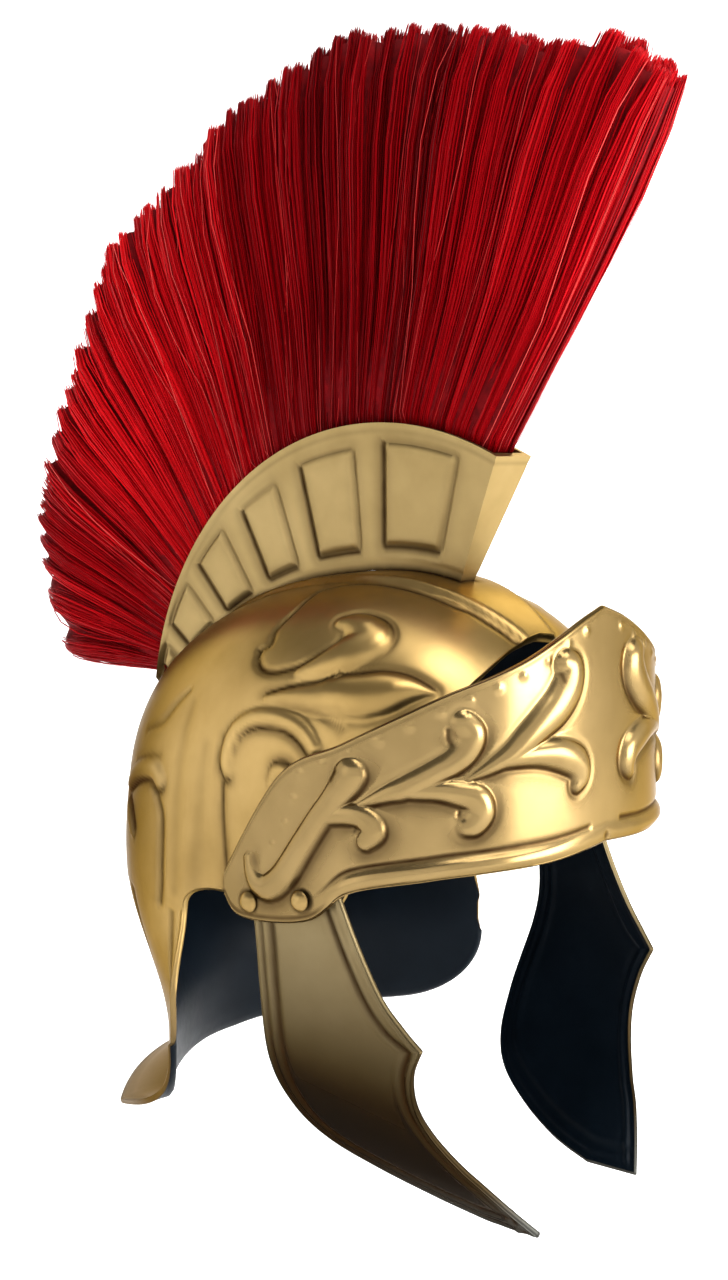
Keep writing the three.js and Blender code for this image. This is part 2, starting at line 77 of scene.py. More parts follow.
CREST_TOP = (-18.0, -74.5, 144.0)  # centre y, centre z, radius
CREST_BOTTOM = (-18.0, -180.5, 188.0)
CREST_ANGLES, CREST_BOTTOM_YS = (115.5, 9.0), (-57.0, 126.0)
CREST_TOP_HALF, CREST_FOOT_HALF, CREST_WALL = 12.0, 4.7, 2.2
CREST_HOLLOW_SPAN = (0.012, 0.93)  # share of its length that is hollow

PLUME_OUTLINE = [(-150, 190), (-132, 208), (-97, 214), (-68, 221), (-38, 229), (-3, 229), (25, 224),
                 (53, 214), (80, 200), (107, 184), (141, 163), (163, 143), (180, 103), (197, 69),
                 (212, 34), (209, -2), (192, -50)]
PLUME_SPAN = (0.018, 0.998)  # share of the crest's length that the hair stands on
PLUME_ROOT_DEPTH, PLUME_ROOT_HALF, PLUME_MOUTH_RISE, PLUME_FRONT_BOW = 7.0, 8.2, 2.0, 3.0
# Half-width of the fan at shares of the way from the trough's mouth to the tips
PLUME_WIDTHS = [(0, 9.2), (0.35, 13.6), (0.7, 20.2), (0.9, 19.8), (1, 15), (1.1, 8)]

# Rivets as (y, z, inner face of the bowl there), and their sizes
RIVETS = {"rear": (-28.0, -116.5, 88.4), "front": (-54.0, -111.5, 85.6)}
RIVET_HEAD, RIVET_SHANK, RIVET_BACK, RIVET_BACK_DEPTH = 4.3, 1.8, 3.4, 1.2


# ---- curves ---------------------------------------------------------------------------------

def lerp(start, end, share):
    return start + (end - start) * share


def smoothstep(value, low, high):
    share = np.clip((value - low) / (high - low), 0, 1)
    return share * share * (3 - 2 * share)


def bump(value, centre, width):
    """Rounded rise to 1 at the centre."""
    return np.exp(-((value - centre) / width) ** 2)


def signed_power(value, power):
    """Power of a number's size, with the number's sign."""
    return np.sign(value) * np.abs(value) ** power


def unit(vectors):
    return vectors / np.maximum(np.linalg.norm(vectors, axis=-1, keepdims=True), 1e-9)


def spline(control, shares):
    """Smooth curve through the control points, read at shares from 0 to 1."""
    points = np.asarray(control, float)
    place = np.clip(shares, 0, 1) * (len(points) - 1)
    index = np.minimum(place.astype(int), len(points) - 2)
    f = (place - index)[:, None]
    before, start = points[np.maximum(index - 1, 0)], points[index]
    end, after = points[index + 1], points[np.minimum(index + 2, len(points) - 1)]
    leave, arrive = (end - before) / 2, (after - start) / 2
    cubic = (2 * start - 2 * end + leave + arrive) * f ** 3
    return cubic + (3 * end - 3 * start - 2 * leave - arrive) * f ** 2 + leave * f + start


def curve_through(pairs):
    """Function that reads a smooth curve of (position, value) pairs at any position."""
    points = spline(pairs, np.linspace(0, 1, 40 * len(pairs)))
    return lambda position: np.interp(position, points[:, 0], points[:, 1])


def bisect(low, high, below):
    """Closes two bounds in on the place where below() turns from true to false."""
    for _ in range(40):
        middle = (low + high) / 2
        under = below(middle)
        low, high = np.where(under, middle, low), np.where(under, high, middle)
    return low


# ---- mesh building --------------------------------------------------------------------------

def add_object(name, mesh, materials, marks):
    """Object for a mesh, with its materials and a list of (name, value for each point)."""
    for label, values in marks:
        mark = mesh.attributes.new(label, "FLOAT", "POINT")
        mark.data.foreach_set("value", values.astype(np.float32))
    for material in materials:
        mesh.materials.append(material)
    mesh.shade_smooth()
    piece = bpy.data.objects.new(name, mesh)
    bpy.context.scene.collection.objects.link(piece)
    return piece


class Shape:
    """Collects points, each with a mark of how dark it is from patina and painted shade in the
    recesses, and faces with the number of their material (finish), and makes one mesh of them."""

    def __init__(self):
        self.points, self.recess, self.faces, self.finish, self.count = [], [], [], [], 0

    def add(self, points, recess=0.0):
        """Adds points and returns their indices in the same arrangement."""
        flat = points.reshape(-1, 3)
        self.points.append(flat)
        self.recess.append(np.broadcast_to(recess, points.shape[:-1]).reshape(-1))
        indices = np.arange(self.count, self.count + len(flat)).reshape(points.shape[:-1])
        self.count += len(flat)
        return indices

    def grid(self, rows, around=False, finish=0, flip=False):
        """Quads between neighbouring rows and columns of indices."""
        right = np.roll(rows, -1, axis=1) if around else rows[:, 1:]
        left = rows if around else rows[:, :-1]
        corners = [left[:-1], left[1:], right[1:], right[:-1]]
        quads = np.stack(corners[::-1] if flip else corners, -1).reshape(-1, 4)
        self.faces += quads.tolist()
        self.finish += [finish] * len(quads)

    def fan(self, tip, ring, finish=0, flip=False):
        """Triangles from one point to a ring of points."""
        for a, b in zip(ring, np.roll(ring, -1)):
            self.faces.append([int(tip), int(b), int(a)] if flip else [int(tip), int(a), int(b)])
            self.finish.append(finish)

    def mesh_object(self, name, materials, mirror=False):
        """Object made of the shape, or of its mirror image on the wearer's right."""
        points = np.concatenate(self.points) / 1000
        faces = self.faces
        if mirror:
            points = points * [-1, 1, 1]
            faces = [face[::-1] for face in faces]
        mesh = bpy.data.meshes.new(name)
        mesh.from_pydata(points.tolist(), [], faces)
        mesh.polygons.foreach_set("material_index", self.finish)
        recess = np.clip(np.concatenate(self.recess), 0, 1)
        return add_object(name, mesh, materials, [("recess", recess)])


def grid_normals(points, around=False):
    """Unit normals of a grid of points, along (next row) x (next column)."""
    if around:
        across = np.roll(points, -1, axis=1) - np.roll(points, 1, axis=1)
    else:
        across = np.gradient(points, axis=1)
    down = np.gradient(points, axis=0)
    return unit(np.cross(down, across))


def round_edge(shape, outer, inner, closed, bulge=0.7):
    """Rounded edge between matching lines of points on the two faces of a wall."""
    rows = 3
    every = np.concatenate(shape.points)
    top, bottom = every[outer], every[inner]
    middle, half = (top + bottom) / 2, (top - bottom) / 2
    if closed:
        along = np.roll(middle, -1, axis=0) - np.roll(middle, 1, axis=0)
    else:
        along = np.gradient(middle, axis=0)
    outward = unit(np.cross(along, half))
    lines = [outer]
    for k in range(1, rows + 1):
        turn = math.pi * k / (rows + 1)
        ring = middle + half * math.cos(turn) + outward * bulge * math.sin(turn)
        lines.append(shape.add(ring))
    lines.append(inner)
    shape.grid(np.stack(lines), around=closed, flip=True)


# ---- embossing ------------------------------------------------------------------------------

def traced(control, place, spacing=0.6):
    """Points along a smooth curve in a design plane, placed on a surface, with the third value
    of each control point (its radius or width) kept beside them."""
    rough = spline(control, np.linspace(0, 1, 200))
    length = np.sum(np.linalg.norm(np.diff(rough[:, :2], axis=0), axis=1))
    fine = spline(control, np.linspace(0, 1, max(int(length / spacing), 6)))
    return np.concatenate([place(fine[:, 0], fine[:, 1]), fine[:, 2:3]], axis=1)


def nearest(points, line, reach):
    """For points near a traced line: which they are, and distances to each point of the line."""
    low, high = line[:, :3].min(0) - reach, line[:, :3].max(0) + reach
    near = np.nonzero(np.all((points > low) & (points < high), axis=1))[0]
    return near, np.linalg.norm(points[near, None, :] - line[None, :, :3], axis=2)


# Ways that the shaded edge of a lobe can face
UP, DOWN, FORWARD_DOWN = (0, -0.3, 0.95), (0, 0.3, -0.95), (0, -0.62, -0.78)
LOBE_REACH, GROOVE_REACH, FAR = 14, 12, 99.0


def emboss(points, lobes, grooves, place, puff=0.42, cap=3.4, painted_shade_width=3.6):
    """Height over the plain surface for each point, and its darkness: patina in the recesses with
    painted shade, heavier on the shaded edge of each lobe and soft around lobes and grooves.
    A lobe is (way its shaded edge faces, (across, up, radius) line); a groove is (depth, darkness,
    (across, up, width) line). They lie on the side where x is positive, and the other side
    mirrors it."""
    shape = points.shape[:-1]
    flat = points.reshape(-1, 3).copy()
    flat[:, 0] = np.abs(flat[:, 0])
    height, recess = np.zeros(len(flat)), np.zeros(len(flat))
    edge, shade = np.full(len(flat), FAR), np.zeros(len(flat))
    for way, control in lobes:
        line = traced(control, place)
        near, gaps = nearest(flat, line, LOBE_REACH)
        if not len(near):
            continue
        radius = np.maximum(line[:, 3], 0.3)
        dome = np.maximum(1 - (gaps / radius) ** 2, 0) ** 0.8 * np.minimum(puff * radius, cap)
        height[near] = np.maximum(height[near], dome.max(1))
        outside = gaps - radius
        gap = outside.min(1)
        weight = np.exp(-1.2 * (outside - gap[:, None]))
        beside = weight @ line[:, :3] / weight.sum(1, keepdims=True)
        facing = unit(flat[near] - beside) @ np.array(way)
        nearer = gap < edge[near]
        shade[near] = np.where(nearer, np.clip(0.55 + 0.7 * facing, 0.12, 1), shade[near])
        edge[near] = np.where(nearer, gap, edge[near])
    height -= (0.12 + 0.45 * shade) * bump(edge, 1.1, 1.3)
    # Painted shade: a soft dark halo round each lobe and the dark line at its edge, heavier on its
    # shaded edge
    painted_shade_halo = 0.62 * np.exp(-((np.maximum(edge, 0) / painted_shade_width) ** 2))
    recess = np.maximum(bump(edge, 0.4, 1.4), painted_shade_halo) * shade
    recess *= smoothstep(edge, -2.5, 0)
    for depth, dark, control in grooves:
        line = traced(control, place)
        near, gaps = nearest(flat, line, GROOVE_REACH)
        if not len(near):
            continue
        cut = np.exp(-((gaps / line[:, 3]) ** 2)).max(1)
        # Painted shade: a soft halo beside each groove, added to the patina in it
        painted_shade_halo = 0.35 * np.exp(-((gaps / (2.4 * line[:, 3])) ** 2)).max(1)
        recess[near] = np.maximum(recess[near], dark * np.maximum(cut, painted_shade_halo))
        height[near] -= depth * cut * smoothstep(edge[near], -0.5, 1.5)
    return height.reshape(shape), recess.reshape(shape)


# ---- bowl -----------------------------------------------------------------------------------

def place_dome(x, y, z):
    """Point of the level dome, tilted and placed, with the flare towards the ear guard."""
    cosine, sine = math.cos(BOWL_TILT), math.sin(BOWL_TILT)
    point = np.stack([x, y * cosine + z * sine, z * cosine - y * sine], -1) + BOWL_CENTRE
    rearward = smoothstep(point[..., 1], -10, EAR_REAR_Y)
    downward = smoothstep(-point[..., 2], 85, EAR_RADIUS - EAR_TOP_Z)
    point[..., 0] += EAR_FLARE * rearward * downward * point[..., 0] / BOWL_HALF_WIDTH
    return point


def dome_point(angle, latitude):
    """Point of the dome at a plan angle from the brow and a latitude in degrees; below latitude
    0 the wall goes straight down, a millimetre for each degree."""
    rise = np.radians(np.maximum(latitude, 0))
    spread = np.maximum(np.cos(rise), 0) ** (2 / PROFILE_POWER)
    z = BOWL_HEIGHT * np.sin(rise) ** (2 / PROFILE_POWER) + np.minimum(latitude, 0)
    length = np.where(np.cos(angle) > 0, BOWL_FRONT, BOWL_BACK)
    x = BOWL_HALF_WIDTH * spread * signed_power(np.sin(angle), 2 / PLAN_POWER)
    y = -length * spread * signed_power(np.cos(angle), 2 / PLAN_POWER)
    return place_dome(x, y, z)


def latitude_at(angle, z):
    """Latitude at which the dome is at height z, for each plan angle."""
    bounds = np.full_like(angle, -60.0), np.full_like(angle, 80.0)
    return bisect(*bounds, lambda latitude: dome_point(angle, latitude)[..., 2] <= z)


def ear_angle(z):
    """Plan angle at which the dome, at height z, reaches the ear cut-out's rear edge."""
    bounds = np.array([math.pi / 2]), np.array([math.pi])
    found = bisect(*bounds, lambda angle: dome_point(angle, latitude_at(angle, z))[:, 1] < EAR_REAR_Y)
    return float(found[0])


def bowl_plane(y, w):
    """Point of the dome at a level distance y from its centre and an arc w down from the
    centre line."""
    turns = np.linspace(0, math.pi / 2, 160)
    length = np.where(y < 0, BOWL_FRONT, BOWL_BACK)
    left = np.clip(1 - (np.abs(y) / length) ** PLAN_POWER, 1e-6, 1)
    widest = BOWL_HALF_WIDTH * left ** (1 / PLAN_POWER)
    x = widest[:, None] * np.sin(turns)
    plan = (x / BOWL_HALF_WIDTH) ** PLAN_POWER + (np.abs(y) / length)[:, None] ** PLAN_POWER
    z = BOWL_HEIGHT * np.clip(1 - plan ** (PROFILE_POWER / PLAN_POWER), 0, 1) ** (1 / PROFILE_POWER)
    steps = np.hypot(np.diff(x, axis=1), np.diff(z, axis=1))
    arc = np.concatenate([np.zeros((len(y), 1)), np.cumsum(steps, axis=1)], axis=1)
    found = np.array([(np.interp(d, a, px), np.interp(d, a, pz) - max(d - a[-1], 0))
                      for d, a, px, pz in zip(w, arc, x, z)])
    return place_dome(found[:, 0], y, found[:, 1])


def crown_line(raised):
    """Line over the crown along the middle of the bowl, raised above its surface."""
    y = np.linspace(-BOWL_FRONT + 0.5, BOWL_BACK - 0.5, 600)
    length = np.where(y < 0, BOWL_FRONT, BOWL_BACK)
    z = BOWL_HEIGHT * (1 - (np.abs(y) / length) ** PROFILE_POWER) ** (1 / PROFILE_POWER)
    slope = np.gradient(z, y)
    normal = unit(np.stack([0 * y, -slope, 0 * y + 1], -1))
    return place_dome(0 * y, y + raised * normal[:, 1], z + raised * normal[:, 2])


def neck_point(top, share, side, down, out):
    """Neck guard point: share runs from the ear edge to the nape, down to the bend, and out
    across the turned-out flange."""
    turn = share * math.pi / 2
    reach = NECK_BACK_Y - EAR_REAR_Y
    foot_x = side * NECK_HALF_WIDTH * np.cos(turn)
    foot_y = EAR_REAR_Y + reach * np.sin(turn) ** 2
    along = np.minimum((foot_y - EAR_REAR_Y) / NECK_CORNER_LENGTH, 1)
    foot_z = lerp(NECK_CORNER_Z, NECK_BOTTOM_Z, np.sqrt(1 - (1 - along) ** 2))
    foot_z = foot_z - NAPE_DROP * share ** 2
    ease = smoothstep(down, -0.05, NECK_NARROW_BY)
    point = np.stack([lerp(top[:, 0], foot_x, ease), lerp(top[:, 1], foot_y, ease),
                      lerp(top[:, 2], foot_z, down)], -1)
    slope = 2 * side * np.cos(turn) * reach / NECK_HALF_WIDTH
    outward = unit(np.stack([slope, np.ones_like(slope), np.zeros_like(slope)], -1))
    width = lerp(FLANGE_START, FLANGE_WIDTH, np.minimum(along / FLANGE_FULL_BY, 1) ** 1.5)
    point += outward * (width * out)[:, None]
    point[:, 2] -= FLANGE_DROP * (width / FLANGE_WIDTH) * out ** 1.6
    return point


# Scrolls and leaves on the bowl as (distance behind the middle, arc from the centre line,
# radius), all on one side
BOWL_LOBES = [
    (UP, [(-33, 58, 3.5), (-40, 57, 6.5), (-48, 61, 9.0), (-42, 72, 8), (-33, 80, 5), (-25, 85, 2.5)]),
    (UP, [(-12, 98, 2), (-34, 94, 6), (-43, 90, 8), (-53, 85.5, 9.5), (-61, 79, 9), (-68, 72, 6),
          (-77, 64, 1)]),
    (DOWN, [(5, 129, 2), (6.5, 124, 3), (5, 116, 3.8), (1, 110, 4), (-6, 106.5, 4), (-16, 105.3, 4),
            (-26, 106, 4), (-33, 108.5, 4), (-38, 113, 3.5)]),
    (UP, [(-18.5, 131, 1.6), (-21, 125.5, 2.4), (-26, 125, 2.6), (-28.5, 129, 3), (-32, 134, 3)]),
    (DOWN, [(88, 102, 3), (82, 104, 4), (71, 109, 4.5), (57, 117, 4.5), (51, 124, 4)]),
    (UP, [(87, 111, 2.5), (83, 121, 3.5), (79, 130, 3)]),
]
# Creases on the bowl as (depth, darkness, (distance behind the middle, arc, width))
BOWL_GROOVES = [
    (1.0, 1.0, [(-36, 66, 1.0), (-31, 76.5, 1.4), (-20, 84, 1.6), (-10, 86.5, 1.6), (-3, 84.5, 1.5),
                (0.5, 80, 1.3), (1.5, 76, 0.8)]),
    (0.9, 0.9, [(3, 75.6, 0.8), (-2.6, 73, 1.2), (-1, 65.6, 1.3), (-3, 53, 1.2), (-2.4, 42, 1.2),
                (-2.5, 33, 1.3), (-12, 25.8, 1.5), (-27, 24.2, 1.7), (-40, 24.2, 1.8), (-52, 23.7, 1.8),
                (-63, 22.2, 1.7), (-70, 19.3, 1.6), (-77, 17.5, 1.5), (-83, 14.8, 1.4),
                (-87, 13.2, 1.2)]),
    (1.0, 0.9, [(9.5, 174.6, 1.8), (8, 168.8, 1.8), (7.6, 156.5, 1.8), (7.9, 145, 1.8), (7.7, 134, 1.6),
                (9, 126.6, 1.0)]),
    (0.5, 0.45, [(9, 117, 1.4), (5, 108, 1.4), (-2, 104, 1.4), (-9, 102, 1.4), (-20, 101, 1.5),
                 (-31, 100, 1.6), (-40, 99.5, 1.4), (-49, 101, 1)]),
    (1.2, 0.8, [(54.5, 128, 1.6), (50, 137.5, 1.9), (49, 145, 2), (48.6, 157, 2), (49, 169, 2),
                (52, 178, 2)]),
    (0.5, 0.6, [(78, 101, 1.2), (64.5, 107.6, 1.4), (51.6, 113.5, 1.0)]),
    (0.8, 0.45, [(69.5, 92.8, 1.6), (55.4, 97.3, 2.0), (46.4, 93, 1.8), (38, 89, 1.0)]),
    (0.9, 0.9, [(83, 109, 1.2), (76, 112, 1.6), (67, 116.5, 1.8), (59.5, 122, 1.6), (55, 128, 1.2)]),
    (0.3, 0.22, [(19, 116, 3.5), (22, 140, 4.5), (24, 160, 5), (25, 176, 5)]),
    (0.3, 0.25, [(33, 96, 3), (36, 116, 4), (38, 140, 4.4), (38, 172, 4)]),
]
# Half-width of the raised band over the crown against the distance behind the middle
BAND_HALF = [(-95, 12), (-87, 13.2), (-70, 18.5), (-52, 22.5), (-27, 23), (0, 21), (60, 20), (100, 18)]


def band_rise(points):
    """How much the band over the crown stands up at points of the bowl."""
    cosine, sine = math.cos(BOWL_TILT), math.sin(BOWL_TILT)
    local = points - BOWL_CENTRE
    y = local[..., 1] * cosine - local[..., 2] * sine
    half = np.interp(y, *np.array(BAND_HALF).T)
    rise = RIDGE_HEIGHT * (1 - smoothstep(np.abs(points[..., 0]), half - 4.5, half - 0.5))
    return rise * (1 - smoothstep(y, 96, 112))


def crest_shadow(points):
    """Painted shadow: a dark line where the foot of the crest meets the band, with broader painted
    shade beside it.
    """
    foot = np.abs(np.abs(points[..., 0]) - CREST_FOOT_HALF)
    inside = smoothstep(points[..., 1], -60, -56) * (1 - smoothstep(points[..., 1], 60, 70))
    top = smoothstep(points[..., 2], -40, -20)
    return np.maximum(np.exp(-(foot / 2.4) ** 2), 0.4 * np.exp(-(foot / 7) ** 2)) * inside * top


def bowl_angles(step, corner):
    """Plan angles of the bowl's columns: close together over the embossed sides."""
    front = np.linspace(0, 0.3, 14)[:-1]
    side = np.linspace(0.3, step - corner, 124)[:-1]
    bend = step - corner * (1 - np.linspace(0, 1, 12) ** 0.7)
    back = np.linspace(step, math.pi, 108)[1:]
    half = np.concatenate([front, side, bend, back])
    return np.concatenate([half, -half[1:-1][::-1]])


def rim_height(angle, step):
    """Height of the bowl's lower rim, with the rounded corner of the ear cut-out."""
    run = (step - angle) * BOWL_HALF_WIDTH / EAR_RADIUS
    left = np.clip(1 - run, 0, 1)
    corner = EAR_RADIUS * (1 - np.sqrt(1 - left ** 2))
    height = curve_through(BOWL_RIM)(np.degrees(angle)) - corner
    return np.where(angle >= step - 1e-9, EAR_TOP_Z - EAR_RADIUS, height)


# Share of the way from the dome to the flange's edge that is neck guard
NECK_TRACK = 0.78


def bowl_piece(materials):
    """The dome, its band, its embossing and the neck guard, as one closed wall."""
    step = ear_angle(EAR_TOP_Z - EAR_RADIUS)
    angles = bowl_angles(step, EAR_RADIUS / BOWL_HALF_WIDTH)
    low = latitude_at(angles, rim_height(np.abs(angles), step))
    dome_rows, neck_rows, lining_rows = 124, 44, 16

    def dome_grid(rows):
        shares = (np.arange(1, rows + 1) / rows) ** 0.85
        return dome_point(angles[None, :], lerp(90.0, low[None, :], shares[:, None]))

    outside, lining = dome_grid(dome_rows), dome_grid(lining_rows)
    neck_columns = np.nonzero(np.abs(angles) >= step - 1e-9)[0]
    away = np.abs(np.where(angles[neck_columns] < 0, angles[neck_columns] + 2 * math.pi,
                           angles[neck_columns]) - math.pi)
    neck_share = 1 - away / (math.pi - step)
    neck_side = np.where(angles[neck_columns] > 0, 1, -1)
    track = np.linspace(0, 1, neck_rows + 1)[1:]
    downs = np.clip(track / NECK_TRACK, 0, 1)
    outs = np.clip((track - NECK_TRACK) / (1 - NECK_TRACK), 0, 1) * 0.88
    outs = outs + smoothstep(track, 0.70, 0.80) * 0.12
    top = outside[-1, neck_columns]
    neck = np.stack([neck_point(top, neck_share, neck_side, d, o) for d, o in zip(downs, outs)])

    dome_normals = grid_normals(outside, around=True)
    lining_normals = grid_normals(lining, around=True)
    column = np.concatenate([outside[:, neck_columns], neck])
    column_normals = grid_normals(column)
    neck_normals = column_normals[dome_rows:]
    dome_normals[-1, neck_columns] = column_normals[dome_rows - 1]
    lining_normals[-1] = dome_normals[-1]

    height, recess = emboss(outside, BOWL_LOBES, BOWL_GROOVES, bowl_plane)
    # Painted shadow beside the foot of the crest
    recess = np.maximum(recess, crest_shadow(outside))
    # The embossing fades out at the front rim and by the free edges of the neck guard
    row = np.arange(1, dome_rows + 1)[:, None]
    rim_fade = 1 - smoothstep(row, dome_rows - 3, dome_rows)
    by_edge = 1 - smoothstep(np.abs(angles) - step, 0.04, 0.15)
    edge_fade = 1 - by_edge * smoothstep(row, dome_rows - 14, dome_rows)
    height *= np.where(np.abs(angles) < step, rim_fade, edge_fade)
    raised = outside + dome_normals * (height + band_rise(outside))[..., None]
    neck_height, neck_recess = neck_relief(neck_share, downs, outs)
    neck_raised = neck + neck_normals * neck_height[..., None]

    shape = Shape()
    tip = dome_point(np.array([0.0]), np.array([90.0]))
    up = np.array([0, math.sin(BOWL_TILT), math.cos(BOWL_TILT)])
    outer_tip = shape.add(tip + up * RIDGE_HEIGHT)[0]
    outer = shape.add(raised, recess)
    outer_neck = shape.add(neck_raised, neck_recess)
    inner_tip = shape.add(tip - up * WALL)[0]
    inner = shape.add(lining - lining_normals * WALL)
    inner_neck = shape.add(neck - neck_normals * WALL)
    shape.fan(outer_tip, outer[0])
    shape.grid(outer, around=True)
    shape.grid(np.concatenate([outer[-1:, neck_columns], outer_neck]))
    shape.fan(inner_tip, inner[0], flip=True, finish=1)
    shape.grid(inner, around=True, finish=1, flip=True)
    shape.grid(np.concatenate([inner[-1:, neck_columns], inner_neck]), finish=1, flip=True)

    # The open edge: front rim, one side of the neck guard, the flange, and the other side
    front_left = np.arange(0, neck_columns[0] + 1)
    front_right = np.arange(neck_columns[-1], len(angles))

    def edge_line(dome, guard):
        return np.concatenate([dome[-1, front_left], guard[:-1, 0], guard[-1], guard[:-1, -1][::-1],
                               dome[-1, front_right]])

    round_edge(shape, edge_line(outer, outer_neck), edge_line(inner, inner_neck), closed=True)
    return shape.mesh_object("bowl_embossed", materials)


def neck_relief(share, downs, outs):
    """Creases that run down the neck guard, and the rounded fold into its flange; the creases are
    darkened with patina and the fold with painted shade.
    """
    down, out = downs[:, None], outs[:, None]
    crease = bump(share, 0.33, 0.022) * (1 - smoothstep(down, 0.8, 1.0))
    border = bump(share, 0.045, 0.012) * (1 - smoothstep(down, 0.9, 1.0))
    lip = bump(out, 0.86, 0.05) * smoothstep(share, 0.1, 0.25)
    fold = bump(down, 0.97, 0.03) * (out < 0.2) * smoothstep(share, 0.1, 0.3)
    height = -1.2 * crease - 0.5 * border - 0.4 * lip
    return height, np.clip(0.8 * crease + 0.6 * border + 0.35 * lip + 0.4 * fold, 0, 1)


# ---- visor ----------------------------------------------------------------------------------

visor_top, visor_rim = curve_through(VISOR_TOP), curve_through(VISOR_RIM)


def visor_point(degrees, z, out=0.0):
    """Point of the visor's outer face at a plan angle from the brow, or a distance out from it."""
    angle = np.radians(degrees)
    across = (np.abs(np.sin(angle)) / VISOR_HALF_WIDTH) ** VISOR_POWER
    along = (np.abs(np.cos(angle)) / VISOR_FRONT) ** VISOR_POWER
    rise = np.clip((z - VISOR_RIM_Z) / (VISOR_TOP_Z - VISOR_RIM_Z), 0, 1)
    radius = (across + along) ** (-1 / VISOR_POWER) * (1 - VISOR_LEAN * rise) + out
    y = VISOR_CENTRE_Y - radius * np.cos(angle)
    return np.stack([radius * np.sin(angle), y, z + 0 * angle], -1)


def visor_degrees():
    """Plan angle and arc length along the visor from the brow, at its rim."""
    degrees = np.linspace(0, 100, 1001)
    points = visor_point(degrees, VISOR_RIM_Z + 0 * degrees)
    steps = np.linalg.norm(np.diff(points, axis=0), axis=1)
    return degrees, np.concatenate([[0], np.cumsum(steps)])


VISOR_DEGREES, VISOR_ARC = visor_degrees()


def visor_plane(s, z):
    """Point of the visor at an arc length from the brow and a height."""
    return visor_point(np.interp(s, VISOR_ARC, VISOR_DEGREES), z)


# Leaf scrolls on the visor as (arc from the brow, height, radius)
VISOR_LOBES = [(FORWARD_DOWN, line) for line in [
    [(161.5, -99, 2.4), (160, -104.5, 3.4), (156.5, -108.5, 4.6), (150.8, -108.8, 5.4),
     (143.4, -102.7, 5.6), (134.8, -89.9, 5.2), (127.8, -79.4, 5.0), (122, -71.9, 5.2),
     (116.6, -64.8, 6.2), (114.8, -61.5, 6.6)],
    [(127, -79, 3), (119.1, -76.8, 4), (112, -76.6, 4.4), (107.2, -79, 4.8), (105.8, -82.5, 5.0),
     (108.6, -86.2, 3.8)],
    [(111, -72.5, 1.2), (100, -67.8, 3.4), (93.8, -65.6, 4.4), (81.8, -59.3, 4.6), (75.6, -56, 5),
     (70.6, -51.6, 5.4), (68.6, -46, 5.8), (71.5, -42, 5.4)],
    [(97, -67, 2.5), (90, -66.6, 3.4), (81, -66.6, 3.9), (74, -67.6, 4.8), (67, -69.8, 5.6),
     (64.8, -74.8, 5.6), (67.4, -79.2, 4.8), (70.5, -80.5, 3.5)],
    [(70, -62.6, 1.0), (61, -58.4, 2.8), (52.4, -54, 4.4), (45, -48.5, 5.8), (37, -42.7, 7.0),
     (29.5, -37, 8.0), (24.2, -30.6, 8.4), (22.8, -25, 7.6), (25.5, -22.4, 6)],
    [(60, -57.5, 2.5), (50, -55.6, 3.8), (39.4, -55.2, 5.0), (29, -56.5, 6.4), (19.5, -60.4, 6.6),
     (16.8, -65.5, 5.4), (19, -69.5, 3.4)],
]]
VISOR_GROOVES = [(0.7, 0.9, line) for line in [
    [(77.5, -44.2, 1.2), (77.5, -47.2, 1.8), (76.5, -49, 1.4)],
    [(29.5, -26, 1.2), (29, -28.5, 1.3)],
    [(112.5, -81.2, 1.1), (113, -82.5, 1.1)],
    [(73, -74.2, 1.2), (73.5, -75.8, 1.2)],
    [(120.5, -60.5, 1.2), (122, -63.5, 1.2)],
]]


# Bead along the lower rim: height above the rim and how far it stands out, and the plan angle
# in degrees at which it ends, over a few degrees
BEAD_TOP = 8
BEAD = [(0, 0.2), (0.8, 0.9), (2, 1.7), (3.4, 1.9), (5.5, 1.2), (6.6, 0.2), (BEAD_TOP, 0)]
BEAD_END, BEAD_FADE = 68, 4


